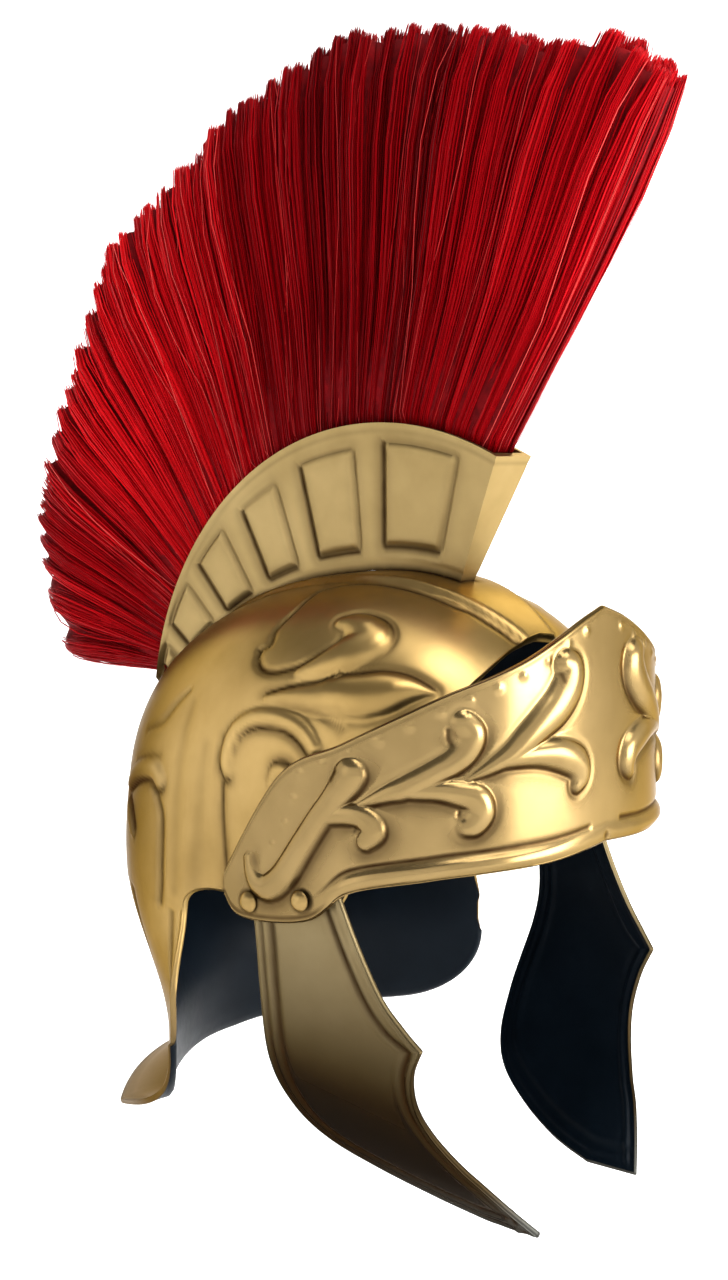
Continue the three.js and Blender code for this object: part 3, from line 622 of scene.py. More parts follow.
def visor_piece(materials):
    """The visor's plate, leaf scrolls and bead, with an ear plate at each end."""
    columns, plate_rows = 520, 120
    degrees = np.linspace(-VISOR_END, VISOR_END, columns)
    away = np.abs(degrees)
    top, rim = visor_top(away), visor_rim(away)
    bead_rise = [BEAD_TOP, 7, 6.4, 5.8, 5.2, 4.6, 3.8, 3.0, 2.2, 1.5, 0.9, 0.4, 0]
    bead_out = np.interp(bead_rise, *np.array(BEAD).T)
    arc = np.interp(away, VISOR_DEGREES, VISOR_ARC)
    bead_left = np.clip((BEAD_END - away) / BEAD_FADE, 0, 1) * lerp(0.3, 1.0, smoothstep(arc, 4, 60))
    shares = np.linspace(1, 0, plate_rows + 1)[:-1]
    heights = [lerp(rim + BEAD_TOP, top, share) for share in shares]
    heights += [rim + rise for rise in bead_rise]
    z = np.stack(heights)
    flat = visor_point(degrees, z)
    bead = np.concatenate([np.zeros(plate_rows), bead_out])[:, None] * bead_left
    normals = grid_normals(flat)

    height, recess = emboss(flat, VISOR_LOBES, VISOR_GROOVES, visor_plane, puff=0.5, cap=3.8,
                            painted_shade_width=5.5)
    below_top, above_rim = top - z, z - rim
    beside = smoothstep(arc, 9, 12)
    over_bead = bump(above_rim, BEAD_TOP + 0.2, 1.1) * beside
    over_bead *= smoothstep(BEAD_END + BEAD_FADE - away, 0, 8)
    height -= 0.7 * over_bead
    under = bump(above_rim, 1.6, 1.0) * smoothstep(away, 66, 70) * 0.8
    border = bump(below_top, 1.6, 0.9)
    height += 0.35 * bump(below_top, 0.2, 0.9)
    dot = np.exp(-((arc / 1.6) ** 2 + ((z + 92.5) / 1.6) ** 2))
    height += 0.6 * visor_bosses(arc, z, top) - 0.5 * dot
    edge_fade = smoothstep(below_top, 0, 1.2) * smoothstep(above_rim, 0, 1.0)
    # Darkness: patina with painted shade round the lobes, and darker lines above and by the bead, under
    # the top edge, at the brow dot and round the rivets
    recess = np.maximum.reduce([recess, over_bead, under, 0.35 * border, 0.9 * dot, rivet_rings(flat)])
    outer_points = visor_point(degrees, z, bead) + normals * (height * edge_fade)[..., None]

    shape = Shape()
    outer = shape.add(outer_points, recess)
    kept = np.concatenate([np.arange(0, plate_rows, 8), np.arange(plate_rows, len(heights), 4)])
    kept[-1] = len(heights) - 1
    inner = shape.add(visor_point(degrees, z[kept], bead[kept]) - normals[kept] * WALL)
    shape.grid(outer)
    shape.grid(inner, finish=1, flip=True)
    stitch_side(shape, outer[:, 0], inner[:, 0], kept, flip=False)
    stitch_side(shape, outer[:, -1], inner[:, -1], kept, flip=True)
    round_edge(shape, outer[0][::-1], inner[0][::-1], closed=False)
    round_edge(shape, outer[-1], inner[-1], closed=False)
    return shape.mesh_object("visor_embossed", materials)


def rivet_rings(points):
    """Dark rings in the paint around the rivet heads."""
    total = np.zeros(points.shape[:-1])
    for y, z, _ in RIVETS.values():
        gap = np.hypot(points[..., 1] - y, points[..., 2] - z)
        total = np.maximum(total, 0.75 * bump(gap, 4.6, 1.1))
    return total


def visor_bosses(arc, z, top):
    """Small bosses along the visor's top edge and down the back of its ear plates."""
    total = np.zeros(z.shape)
    for k in range(1, 12):
        s = 11.4 * k + 1
        centre_z = float(visor_top(np.interp(s, VISOR_ARC, VISOR_DEGREES))) - 4.5
        total += np.exp(-((arc - s) ** 2 + (z - centre_z) ** 2) / 2.6)
    for s, centre_z in [(136, -63), (139, -73), (143, -83), (149, -92)]:
        total += 0.7 * np.exp(-((arc - s) ** 2 + (z - centre_z) ** 2) / 2.6)
    return total


def stitch_side(shape, fine, coarse, kept, flip):
    """Closes a short side between a line of many points and one of fewer, which starts and
    ends at the same places."""
    for k in range(len(kept) - 1):
        run = fine[kept[k]:kept[k + 1] + 1]
        for a, b in zip(run[:-1], run[1:]):
            face = [int(coarse[k]), int(a), int(b)]
            shape.faces.append(face[::-1] if flip else face)
            shape.finish.append(0)
        face = [int(coarse[k]), int(run[-1]), int(coarse[k + 1])]
        shape.faces.append(face[::-1] if flip else face)
        shape.finish.append(0)


# ---- cheek guards ---------------------------------------------------------------------------

def cheek_point(y, z):
    """Point of the left cheek guard's outer face at a place in side view."""
    down = CHEEK_BEND_Z - z
    lean = CHEEK_LEAN * (1 - down / CHEEK_LEAN_FADE)
    forward = np.maximum(CHEEK_LEAN_Y - y, 0) / CHEEK_LEAN_RUN
    x = CHEEK_HALF_WIDTH - np.maximum(down, 0) ** 2 / CHEEK_BEND_LENGTH
    x = x - lean * forward ** CHEEK_LEAN_POWER
    return np.stack([x, y, z], -1)


def cheek_front_edge(shares):
    """Front edge, with the corner of its notch kept sharp."""
    corner, corner_share = 4, 0.4
    above = spline(CHEEK_FRONT[:corner + 1], shares / corner_share)
    below = spline(CHEEK_FRONT[corner:], (shares - corner_share) / (1 - corner_share))
    return np.where((shares < corner_share)[:, None], above, below)


def cheek_shape():
    """The left cheek guard with its pressed borders, as one closed wall."""
    steps, across = 145, 48
    shares = np.linspace(0, 1, steps + 1)
    front, rear = cheek_front_edge(shares), spline(CHEEK_REAR, shares)
    spread = 0.5 - 0.5 * np.cos(math.pi * np.linspace(0, 1, across + 1))
    spread = lerp(np.linspace(0, 1, across + 1), spread, 0.55)
    y = lerp(front[:, None, 0], rear[:, None, 0], spread[None, :])
    z = lerp(front[:, None, 1], rear[:, None, 1], spread[None, :])
    flat = cheek_point(y, z)
    normals = grid_normals(flat)
    to_front = outline_gap(y, z, front)
    to_rear = outline_gap(y, z, np.concatenate([rear, front[-1:]]))
    lower = smoothstep(-z, 158, 168)

    # Front border: a flat band above the notch, and a rim, groove and thin ridge below it
    groove_front = bump(to_front, lerp(6.3, 3.4, lower), lerp(1.0, 1.2, lower))
    ridge_front = bump(to_front, lerp(8.2, 6.0, lower), 1.4)
    # Rear border: a narrow rim, thin line, strip and broad groove
    line_rear = bump(to_rear, 3.2, 0.7)
    groove_rear = bump(to_rear, 8.2, 1.6)
    strip = bump(to_rear, 5.6, 1.3)
    height = 0.5 * ridge_front - 0.9 * groove_front - 0.5 * line_rear - groove_rear + 0.35 * strip
    to_edge = np.minimum(to_front, to_rear)
    margin = smoothstep(to_edge, 0.0, 1.2)
    height += 0.7 * bump(to_edge, 1.4, 1.4)
    recess = np.maximum.reduce([0.95 * groove_front, 0.7 * line_rear, 0.85 * groove_rear])

    shape = Shape()
    outer = shape.add(flat + normals * (height * margin)[..., None], recess * margin)
    pressed = 0.8 * height * smoothstep(to_edge, 0.5, 2.5)
    inner = shape.add(flat - normals * (WALL - pressed)[..., None])
    shape.grid(outer)
    shape.grid(inner, finish=1, flip=True)
    round_edge(shape, around(outer), around(inner), closed=True, bulge=0.6)
    return shape


def around(rows):
    """The outer loop of a grid of indices."""
    return np.concatenate([rows[:-1, 0], rows[-1, :-1], rows[::-1][:-1, -1], rows[0, ::-1][:-1]])


def outline_gap(y, z, line):
    """Distance in side view from each point to an edge line."""
    gap = np.full(y.shape, FAR)
    for a, b in zip(line[:-1], line[1:]):
        span = b - a
        share = np.clip(((y - a[0]) * span[0] + (z - a[1]) * span[1]) / max(span @ span, 1e-6), 0, 1)
        gap = np.minimum(gap, np.hypot(y - a[0] - share * span[0], z - a[1] - share * span[1]))
    return gap


# ---- crest box ------------------------------------------------------------------------------

BAND_LINE = crown_line(RIDGE_HEIGHT)
CREST_SEAT_GAP = 0.05


def crest_edges(share):
    """Upper and lower edge points (y, z) of the crest at shares of its length."""
    angle = np.radians(lerp(CREST_ANGLES[0], CREST_ANGLES[1], share))
    upper = np.stack([CREST_TOP[0] + CREST_TOP[2] * np.cos(angle),
                      CREST_TOP[1] + CREST_TOP[2] * np.sin(angle)], -1)
    y = lerp(CREST_BOTTOM_YS[0], CREST_BOTTOM_YS[1], share)
    arc = CREST_BOTTOM[1] + np.sqrt(CREST_BOTTOM[2] ** 2 - (y - CREST_BOTTOM[0]) ** 2)
    seat = np.interp(y, BAND_LINE[:, 1], BAND_LINE[:, 2]) + CREST_SEAT_GAP
    lower = np.stack([y, lerp(seat, arc, smoothstep(y, 48, 62))], -1)
    return upper, lower


# Side panels as (start and end of their span along the crest, lowest and highest edge)
CREST_PANELS = [(0.072, 0.229, 0.155, 0.875), (0.297, 0.424, 0.14, 0.835), (0.492, 0.590, 0.12, 0.80),
                (0.655, 0.747, 0.08, 0.82), (0.797, 0.886, 0.08, 0.85), (0.925, 0.966, 0.18, 0.76)]


def crest_relief(share, rise, scale, depth):
    """Height and darkness of the side panels, which have round corners and a groove around. The
    darkness is patina with painted shade, heavier on each panel's rear and lower sides and soft
    around each panel, and a painted shadow along the crest's foot.
    """
    corner = 2.0
    height, recess = np.zeros(share.shape), np.zeros(share.shape)
    for start, end, low, high in CREST_PANELS:
        beside = (np.abs(share - (start + end) / 2) - (end - start) / 2) * scale
        above = (np.abs(rise - (low + high) / 2) - (high - low) / 2) * depth
        qx, qy = beside + corner, above + corner
        gap = np.hypot(np.maximum(qx, 0), np.maximum(qy, 0)) - corner
        gap = gap + np.minimum(np.maximum(qx, qy), 0)
        # Painted shade: each groove is darker on its panel's rear and lower sides
        rearward = np.clip((share - (start + end) / 2) / (end - start) * 2, -1, 1)
        downward = np.clip(((low + high) / 2 - rise) / (high - low) * 2, -1, 1)
        sided = np.where(beside > above, rearward, downward)
        shade = np.clip(0.75 + 0.35 * sided, 0.5, 1)
        groove = bump(gap, 0, lerp(1.0, 1.8, shade))
        height += -0.9 * groove + 0.55 * smoothstep(-gap, 0.4, 3.0)
        recess = np.maximum(recess, np.maximum(groove, 0.4 * bump(gap, 0.5, 4.0)) * shade)
    rim = np.minimum(rise, 1 - rise) * depth
    line = bump(rim, 3.0, 0.8) * 0.6
    # Painted shadow along the foot of the crest
    foot = np.exp(-((rise * depth / 2.2) ** 2))
    return height - 0.4 * line, np.maximum.reduce([recess, 0.4 * line, foot])


def crest_piece(materials):
    """The crescent trough with its panelled sides, as one closed wall."""
    along, up = 270, 38
    share = np.linspace(0, 1, along)[:, None]
    rise = np.linspace(1, 0, up)[None, :]
    upper, lower = crest_edges(share[:, 0])
    depth = np.linalg.norm(upper - lower, axis=1)[:, None]
    centre = lerp(lower[:, None, :], upper[:, None, :], rise[..., None])
    half = lerp(CREST_FOOT_HALF, CREST_TOP_HALF, rise) + 0 * share
    scale = np.linalg.norm(np.gradient(centre, share[:, 0], axis=0), axis=2)
    height, recess = crest_relief(share + 0 * rise, rise + 0 * share, scale, depth)
    height *= smoothstep(rise * depth, 0, 1) * smoothstep((1 - rise) * depth, 0, 1)
    side = np.stack([half + height, centre[..., 0], centre[..., 1]], -1)
    mirror = side[:, ::-1] * [-1, 1, 1]
    outer_points = np.concatenate([side, mirror], axis=1)
    outer_recess = np.concatenate([recess, recess[:, ::-1]], axis=1)

    # The trough inside, a wall thickness in from the outside
    hollow = np.linspace(*CREST_HOLLOW_SPAN, along)
    hollow_upper, hollow_lower = crest_edges(hollow)
    hollow_rise = unit(hollow_upper - hollow_lower)
    floor = hollow_lower + hollow_rise * CREST_WALL
    mouth_half, floor_half = CREST_TOP_HALF - CREST_WALL, CREST_FOOT_HALF - CREST_WALL + 0.6
    lines = [(mouth_half, hollow_upper), (floor_half, floor), (-floor_half, floor),
             (-mouth_half, hollow_upper)]
    inner_points = np.stack([np.stack([np.full(along, x), line[:, 0], line[:, 1]], -1)
                             for x, line in lines], axis=1)
    shape = Shape()
    outer = shape.add(outer_points, outer_recess)
    inner = shape.add(inner_points)
    shape.grid(outer)
    shape.grid(inner, flip=True)
    shape.grid(np.stack([inner[:, 0], outer[:, 0]], 1))
    shape.grid(np.stack([outer[:, -1], inner[:, -1]], 1))
    for end, flip in [(0, True), (-1, False)]:
        left, right = outer[end, :up], outer[end, up:][::-1]
        shape.grid(np.stack([left, right], 1), flip=not flip)
        inside_left, inside_right = inner[end, :2], inner[end, 2:][::-1]
        shape.grid(np.stack([inside_left, inside_right], 1), flip=flip)
        lip = np.array([[outer[end, 0], outer[end, -1]], [inner[end, 0], inner[end, -1]]])
        shape.grid(lip, flip=flip)
    piece = shape.mesh_object("crest_panelled", materials)
    keep_folds(piece, 40)
    return piece


def keep_folds(piece, degrees):
    """Keeps the folds of a boxy piece crisp under smooth shading."""
    piece.data.set_sharp_from_angle(angle=math.radians(degrees))


# ---- rivets ---------------------------------------------------------------------------------

def plate_x(y):
    """How far out the visor's ear plate is at a distance y behind the middle."""
    degrees = bisect(60.0, VISOR_END, lambda turn: visor_point(turn, VISOR_RIM_Z)[1] < y)
    return float(visor_point(degrees, VISOR_RIM_Z)[0])


def rivet_piece(name, place, side, materials):
    """Domed rivet, turned from a profile of (radius, distance out from the ear plate)."""
    y, z, bowl_inside = RIVETS[place]
    base = plate_x(y + RIVET_HEAD) + GAP
    back = bowl_inside - GAP - base
    profile = [(0, 2.7), (1.0, 2.62), (2.0, 2.3), (2.9, 1.75), (3.6, 1.05), (4.05, 0.45),
               (RIVET_HEAD, 0.1), (RIVET_HEAD, -0.1), (4.1, -0.2), (RIVET_SHANK, -0.2),
               (RIVET_SHANK, back), (RIVET_BACK, back), (RIVET_BACK, back - RIVET_BACK_DEPTH),
               (0, back - RIVET_BACK_DEPTH)]
    turns = np.linspace(0, 2 * math.pi, 40, endpoint=False)
    radius, rise = np.array(profile[1:-1])[..., None].transpose(1, 0, 2)
    ring = np.stack([rise + 0 * turns, radius * np.cos(turns), radius * np.sin(turns)], -1)
    shape = Shape()
    centre = np.array([base, y, z])
    tip = shape.add(centre + [[profile[0][1], 0, 0]])[0]
    rows = shape.add(centre + ring, np.interp(rise, [-0.2, 0.5], [0.9, 0]) + 0 * turns)
    end = shape.add(centre + [[profile[-1][1], 0, 0]])[0]
    shape.fan(tip, rows[0])
    shape.grid(rows, around=True)
    shape.fan(end, rows[-1], flip=True)
    piece = shape.mesh_object(name, materials, mirror=side < 0)
    keep_folds(piece, 60)
    return piece


# ---- plume ----------------------------------------------------------------------------------

OUTLINE_SHARES = np.linspace(0, 1, 2001)
OUTLINE = spline(PLUME_OUTLINE, OUTLINE_SHARES)
CLUMPS, CLUMP_SEED = 52, 11
# Places of a strand's rings along it, where the first two are: in the trough (in millimetres)
# and just above its mouth, and how thick the strand is at each but the last
HAIR_STATIONS = [0, 0.16, 0.34, 0.52, 0.7, 0.87, 0.985, 1]
HAIR_ROOT = (-PLUME_ROOT_DEPTH, 0.02)
HAIR_TAPER = np.array([0.7, 1.0, 1.0, 1.0, 1.0, 0.95, 0.75])


def fan_point(share, reach, across):
    """Point of the hair fan: share of the way from front to nape, reach from the trough's mouth
    (0) to the tips (1), and across it from -1 to 1. Below 0 a reach is millimetres into the
    trough."""
    upper, lower = crest_edges(lerp(*PLUME_SPAN, share))
    rise = unit(upper - lower)
    mouth = upper + rise * PLUME_MOUTH_RISE
    tip = np.stack([np.interp(share, OUTLINE_SHARES, OUTLINE[:, k]) for k in (0, 1)], -1)
    out = np.maximum(reach, 0)
    centre = mouth + (tip - mouth) * out[:, None]
    bow = PLUME_FRONT_BOW * (1 - np.clip(share, 0, 1)) ** 4
    centre[:, 0] -= bow * np.sin(math.pi * np.minimum(out, 1))
    centre += rise * np.minimum(reach, 0)[:, None]
    half = np.interp(out, *np.array(PLUME_WIDTHS).T)
    half = np.where(reach < 0, PLUME_ROOT_HALF, half)
    half *= lerp(0.55, 1.0, smoothstep(np.minimum(share, 1 - share), -0.004, 0.02))
    return np.stack([across * half, centre[:, 0], centre[:, 1]], -1)


def clumps_at(share):
    """The clumps that hairs at shares of the fan belong to: the clump's middle, the hair's place
    in it from -0.5 to 0.5, how far the clump reaches and how proud it stands."""
    rng = np.random.default_rng(CLUMP_SEED)
    widths = rng.lognormal(0, 0.45, CLUMPS)
    edges = np.concatenate([[0], np.cumsum(widths)]) / widths.sum()
    reach, proud = rng.normal(0, 1, CLUMPS), rng.uniform(0, 1, CLUMPS)
    clump = np.clip(np.searchsorted(edges, share) - 1, 0, CLUMPS - 1)
    centre = (edges[clump] + edges[clump + 1]) / 2
    inside = (share - centre) / (edges[clump + 1] - edges[clump])
    return centre, inside, reach[clump], proud[clump]


def hair_piece(name, seed, count, radius, depth_range, materials, tones=(0.0, 1.0), loose=0.0):
    """Tapered strands that follow the fan in clumps."""
    rng = np.random.default_rng(seed)
    side = rng.choice([-1.0, 1.0], count)
    share = rng.uniform(0, 1, count)
    centre, inside, clump_reach, proud = clumps_at(share)
    valley_side = np.abs(inside)
    depth = rng.uniform(*depth_range, count)
    valley = 1 - 0.34 * smoothstep(valley_side, 0.2, 0.5) - 0.2 * (1 - proud)
    ragged = 0.008 * clump_reach - 0.07 * valley_side ** 2 - rng.exponential(0.006, count)
    length = np.clip(1.010 + ragged + outline_swell(share), 0.8, 1.06)
    gather = rng.uniform(0.35, 0.8, count)
    wander = rng.normal(0, 1, (3, count))
    rings = []
    for k, t in enumerate(HAIR_STATIONS):
        reach = np.full(count, HAIR_ROOT[k]) if k < len(HAIR_ROOT) else length * t
        bent = share + (centre - share) * gather * t ** 1.6
        bent = bent + 0.0035 * wander[0] * math.sin(2.6 * t) * (1 + 8 * loose)
        bent = bent + 0.0016 * wander[1] * math.sin(5.5 * t + 1) * (1 + 6 * loose)
        across = side * depth * lerp(1.0, valley, smoothstep(t, 0.05, 0.4))
        across = across + 0.03 * wander[2] * math.sin(3 * t)
        rings.append(fan_point(np.clip(bent, 0.0, 1.0), reach, np.clip(across, -1.12, 1.12)))
    thickness = radius * rng.uniform(0.6, 1.35, count)
    phase = rng.uniform(0, 2 * math.pi, count)
    mesh, per_strand = strand_mesh(name, np.stack(rings), thickness, phase)
    # Tone: random dye for each strand, with painted light on proud clumps, painted shade in the valleys
    # between clumps, and painted light and shade along the plume
    tone = rng.uniform(*tones, count) * 0.26 + 0.20 * proud + 0.10
    tone += -0.22 * smoothstep(valley_side, 0.3, 0.5) + painted_light_along(share)
    along = np.concatenate([np.repeat(HAIR_STATIONS[:-1], 3), [1.0]])
    marks = [("tone", np.repeat(tone, per_strand)), ("along", np.tile(along, count))]
    return add_object(name, mesh, materials, marks)


def strand_mesh(name, path, thickness, phase):
    """Closed three-sided prisms along the paths (station, strand, place), drawn to a point; also
    how many points each has."""
    stations, count = path.shape[:2]
    tangent = unit(np.gradient(path, axis=0))
    sideways = unit(np.cross(tangent, np.array([1.0, 0.02, 0.01])))
    forward = np.cross(sideways, tangent)
    sides = []
    for corner in range(3):
        turn = (phase + corner * 2 * math.pi / 3)[:, None]
        offset = sideways * np.cos(turn) + forward * np.sin(turn)
        sides.append(path[:-1] + offset[:-1] * (thickness * HAIR_TAPER[:, None])[..., None])
    body = np.stack(sides, axis=2).transpose(1, 0, 2, 3).reshape(count, -1, 3)
    points = np.concatenate([body, path[-1][:, None, :]], 1)

    per_strand = points.shape[1]
    base = np.arange(count)[:, None] * per_strand
    quads, last = [], (stations - 2) * 3
    for start in range(0, last, 3):
        for a, b in ((0, 1), (1, 2), (2, 0)):
            corners = [a, b, b + 3, a + 3]
            quads.append(np.concatenate([base + start + corner for corner in corners], 1))
    tips = [np.concatenate([base + last + a, base + last + b, base + per_strand - 1], 1)
            for a, b in ((0, 1), (1, 2), (2, 0))]
    root = np.concatenate([base + 2, base + 1, base], 1)
    faces = np.concatenate(quads).tolist() + np.concatenate([*tips, root]).tolist()
    mesh = bpy.data.meshes.new(name)
    mesh.from_pydata((points.reshape(-1, 3) / 1000).tolist(), [], faces)
    return mesh, per_strand


def outline_swell(share):
    """Long lumps in the trimmed outline of the plume."""
    return 0.011 * np.sin(41 * share + 0.6) + 0.007 * np.sin(77 * share + 2.0)


def painted_light_along(share):
    """Painted light and shade along the plume: brightest at its front edge and above the nape,
    deepest between, and painted shade in a few folds."""
    tone = 0.06 + 0.12 * bump(share, 0.02, 0.12) - 0.20 * bump(share, 0.34, 0.15)
    tone = tone + 0.30 * bump(share, 0.70, 0.18)
    folds = [(0.105, 0.10), (0.21, 0.22), (0.47, 0.10), (0.57, 0.16), (0.66, 0.12), (0.83, 0.12)]
    for fold, strength in folds:
        tone = tone - strength * bump(share, fold, 0.014)
    return tone


def plume_core(materials):
    """The dense hair below the outer strands, as one closed body with radial folds."""
    along, up = 320, 24
    share = np.linspace(0.004, 0.996, along)
    _, inside, _, proud = clumps_at(share)
    fold = 0.80 - 0.30 * smoothstep(np.abs(inside), 0.2, 0.5) - 0.16 * (1 - proud)
    reaches = np.concatenate([[-PLUME_ROOT_DEPTH], np.linspace(0, 0.975, up)])
    rows = []
    for side in (1, -1):
        column = []
        for reach in reaches:
            ease = smoothstep(reach, 0.05, 0.4)
            reached = reach * (1 + outline_swell(share)) if reach > 0 else np.full(along, reach)
            column.append(fan_point(share, reached, side * lerp(0.9, fold, ease)))
        rows.append(np.stack(column))
    loop = np.concatenate([rows[0], rows[1][::-1]])
    shape = Shape()
    indices = shape.add(loop)
    shape.grid(np.concatenate([indices, indices[:1]]), flip=True)
    for end, flip in [(0, False), (-1, True)]:
        left, right = indices[:len(reaches), end], indices[len(reaches):, end][::-1]
        shape.grid(np.stack([left, right], 1), flip=flip)
    return shape.mesh_object("plume_core", materials)


# ---- finishes -------------------------------------------------------------------------------

class Finish:
    """A material, with short ways to add nodes to it."""

    def __init__(self, name):
        self.material = bpy.data.materials.new(name)
        self.material.use_nodes = True
        self.nodes, self.links = self.material.node_tree.nodes, self.material.node_tree.links
        self.shader = self.nodes["Principled BSDF"]
        self.place = self.nodes.new("ShaderNodeTexCoord").outputs["Object"]

    def feed(self, socket, value):
        """Sets a socket to a number or a colour, or links another node's output to it."""
        if isinstance(value, (int, float)):
            socket.default_value = value
        elif isinstance(value, tuple):
            socket.default_value = (*value, 1)
        else:
            self.links.new(value, socket)

    def set(self, **values):
        """Feeds the shader's sockets, named with _ for each space."""
        for label, value in values.items():
            self.feed(self.shader.inputs[label.replace("_", " ")], value)

    def noise(self, scale, detail):
        node = self.nodes.new("ShaderNodeTexNoise")
        node.inputs["Scale"].default_value = scale
        node.inputs["Detail"].default_value = detail
        node.inputs["Roughness"].default_value = 0.55
        self.links.new(self.place, node.inputs["Vector"])
        return node.outputs["Fac"]

    def mark(self, name):
        """Value that the mesh keeps for each point."""
        node = self.nodes.new("ShaderNodeAttribute")
        node.attribute_name = name
        return node.outputs["Fac"]

    def ramp(self, factor, stops):
        node = self.nodes.new("ShaderNodeValToRGB")
        while len(node.color_ramp.elements) < len(stops):
            node.color_ramp.elements.new(0.5)
        for element, (position, colour) in zip(node.color_ramp.elements, stops):
            element.position = position
            element.color = (*colour, 1)
        self.links.new(factor, node.inputs["Fac"])
        return node.outputs["Color"]

    def mix(self, factor, first, second, blend="MIX"):
        node = self.nodes.new("ShaderNodeMix")
        node.data_type = "RGBA"
        node.blend_type = blend
        for socket, value in ((0, factor), (6, first), (7, second)):
            self.feed(node.inputs[socket], value)
        return node.outputs[2]

    def math(self, operation, first, second):
        node = self.nodes.new("ShaderNodeMath")
        node.operation = operation
        self.feed(node.inputs[0], first)
        self.feed(node.inputs[1], second)
        return node.outputs[0]

    def spread(self, value, start=0.0, end=1.0, low=0.0, high=1.0, smooth=False):
        """A value from start to end, spread from low to high."""
        node = self.nodes.new("ShaderNodeMapRange")
        if smooth:
            node.interpolation_type = "SMOOTHSTEP"
        limits = {"From Min": start, "From Max": end, "To Min": low, "To Max": high}
        for label, limit in limits.items():
            node.inputs[label].default_value = limit
        self.links.new(value, node.inputs["Value"])
        return node.outputs["Result"]

    def relief(self, scale, strength):
        """Fine roughness of the surface, too small for the mesh."""
        node = self.nodes.new("ShaderNodeBump")
        node.inputs["Strength"].default_value = strength
        node.inputs["Distance"].default_value = 0.0004
        self.links.new(self.noise(scale, 2), node.inputs["Height"])
        self.set(Normal=node.outputs["Normal"])


def gold_material(name, light, deep, roughness, edge, fades=()):
    """Satin antique gold paint on moulded plastic: darker in the recesses from patina and painted
    shade, cloudy tone, and a fine orange-peel surface. Each of fades is (axis, start, end, colour it
    turns to), a painted shade or painted sheen."""
    finish = Finish(name)
    base = finish.ramp(finish.noise(22, 4), [(0.32, deep), (0.68, light)])
    axes = finish.nodes.new("ShaderNodeSeparateXYZ")
    finish.links.new(finish.place, axes.inputs[0])
    for axis, start, end, turned in fades:
        base = finish.mix(finish.spread(axes.outputs[axis], start, end, smooth=True), base, turned)
    broken = finish.math("MULTIPLY", finish.noise(120, 2), 0.3)
    patina_and_shade_mix = finish.math("MULTIPLY", finish.mark("recess"), finish.math("ADD", broken, 0.84))
    gloss = finish.spread(finish.noise(400, 2), low=roughness - 0.02, high=roughness + 0.03)
    finish.set(Base_Color=finish.mix(patina_and_shade_mix, base, (0.022, 0.010, 0.003)), Metallic=0.96,
               Roughness=finish.math("ADD", gloss, finish.math("MULTIPLY", patina_and_shade_mix, 0.25)),
               Specular_Tint=(edge, 0.82 * edge, 0.62 * edge))
    finish.relief(420, 0.012)
    return finish.material


def lining_material():
    """Satin black inside of the shells, with the faint mottle of bare moulded plastic."""
    finish = Finish("black_lining")
    stops = [(0.3, (0.0006, 0.0018, 0.0034)), (0.75, (0.0020, 0.0040, 0.0066))]
    finish.set(Base_Color=finish.ramp(finish.noise(30, 4), stops), Specular_IOR_Level=0.06,
               Roughness=finish.spread(finish.noise(240, 3), low=0.34, high=0.5))
    finish.relief(700, 0.08)
    return finish.material


def hair_material(name, dark, middle, bright):
    """Dyed hair: each strand has its own tone, with painted shade at the root and between clumps
    and painted light on proud clumps and along the plume.
    """
    finish = Finish(name)
    colour = finish.ramp(finish.mark("tone"), [(0.0, dark), (0.45, middle), (0.95, bright)])
    # Painted shade towards the root
    root = finish.spread(finish.mark("along"), 0.0, 0.45, 0.45, 1.0)
    finish.set(Base_Color=finish.mix(1.0, colour, root, "MULTIPLY"),
               Roughness=finish.spread(finish.noise(150, 2), low=0.42, high=0.6),
               Specular_IOR_Level=0.12, Specular_Tint=(1.0, 0.05, 0.05))
    return finish.material


def core_material():
    """Matt dark red in the depth of the plume: painted shade among the strands."""
    finish = Finish("hair_depth_shade")
    stops = [(0.3, (0.050, 0.0003, 0.0010)), (0.7, (0.13, 0.0008, 0.0022))]
    finish.set(Base_Color=finish.ramp(finish.noise(160, 4), stops), Roughness=0.75,
               Specular_IOR_Level=0.05)
    return finish.material


def backdrop_material():
    finish = Finish("pale_backdrop")
    stops = [(0.3, (0.93, 0.93, 0.93)), (0.7, (0.95, 0.95, 0.95))]
    finish.set(Base_Color=finish.ramp(finish.noise(3, 2), stops), Roughness=0.9,
               Specular_IOR_Level=0.1, Emission_Color=(1, 1, 1), Emission_Strength=0.56)
    return finish.material


# ---- assembly -------------------------------------------------------------------------------

def settle(piece, slot, *nodes):
    """Puts a piece on the helmet's only body, in place of CAD nodes. The slot is not used."""
    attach(piece, "root")
    if nodes:
        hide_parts(*nodes)


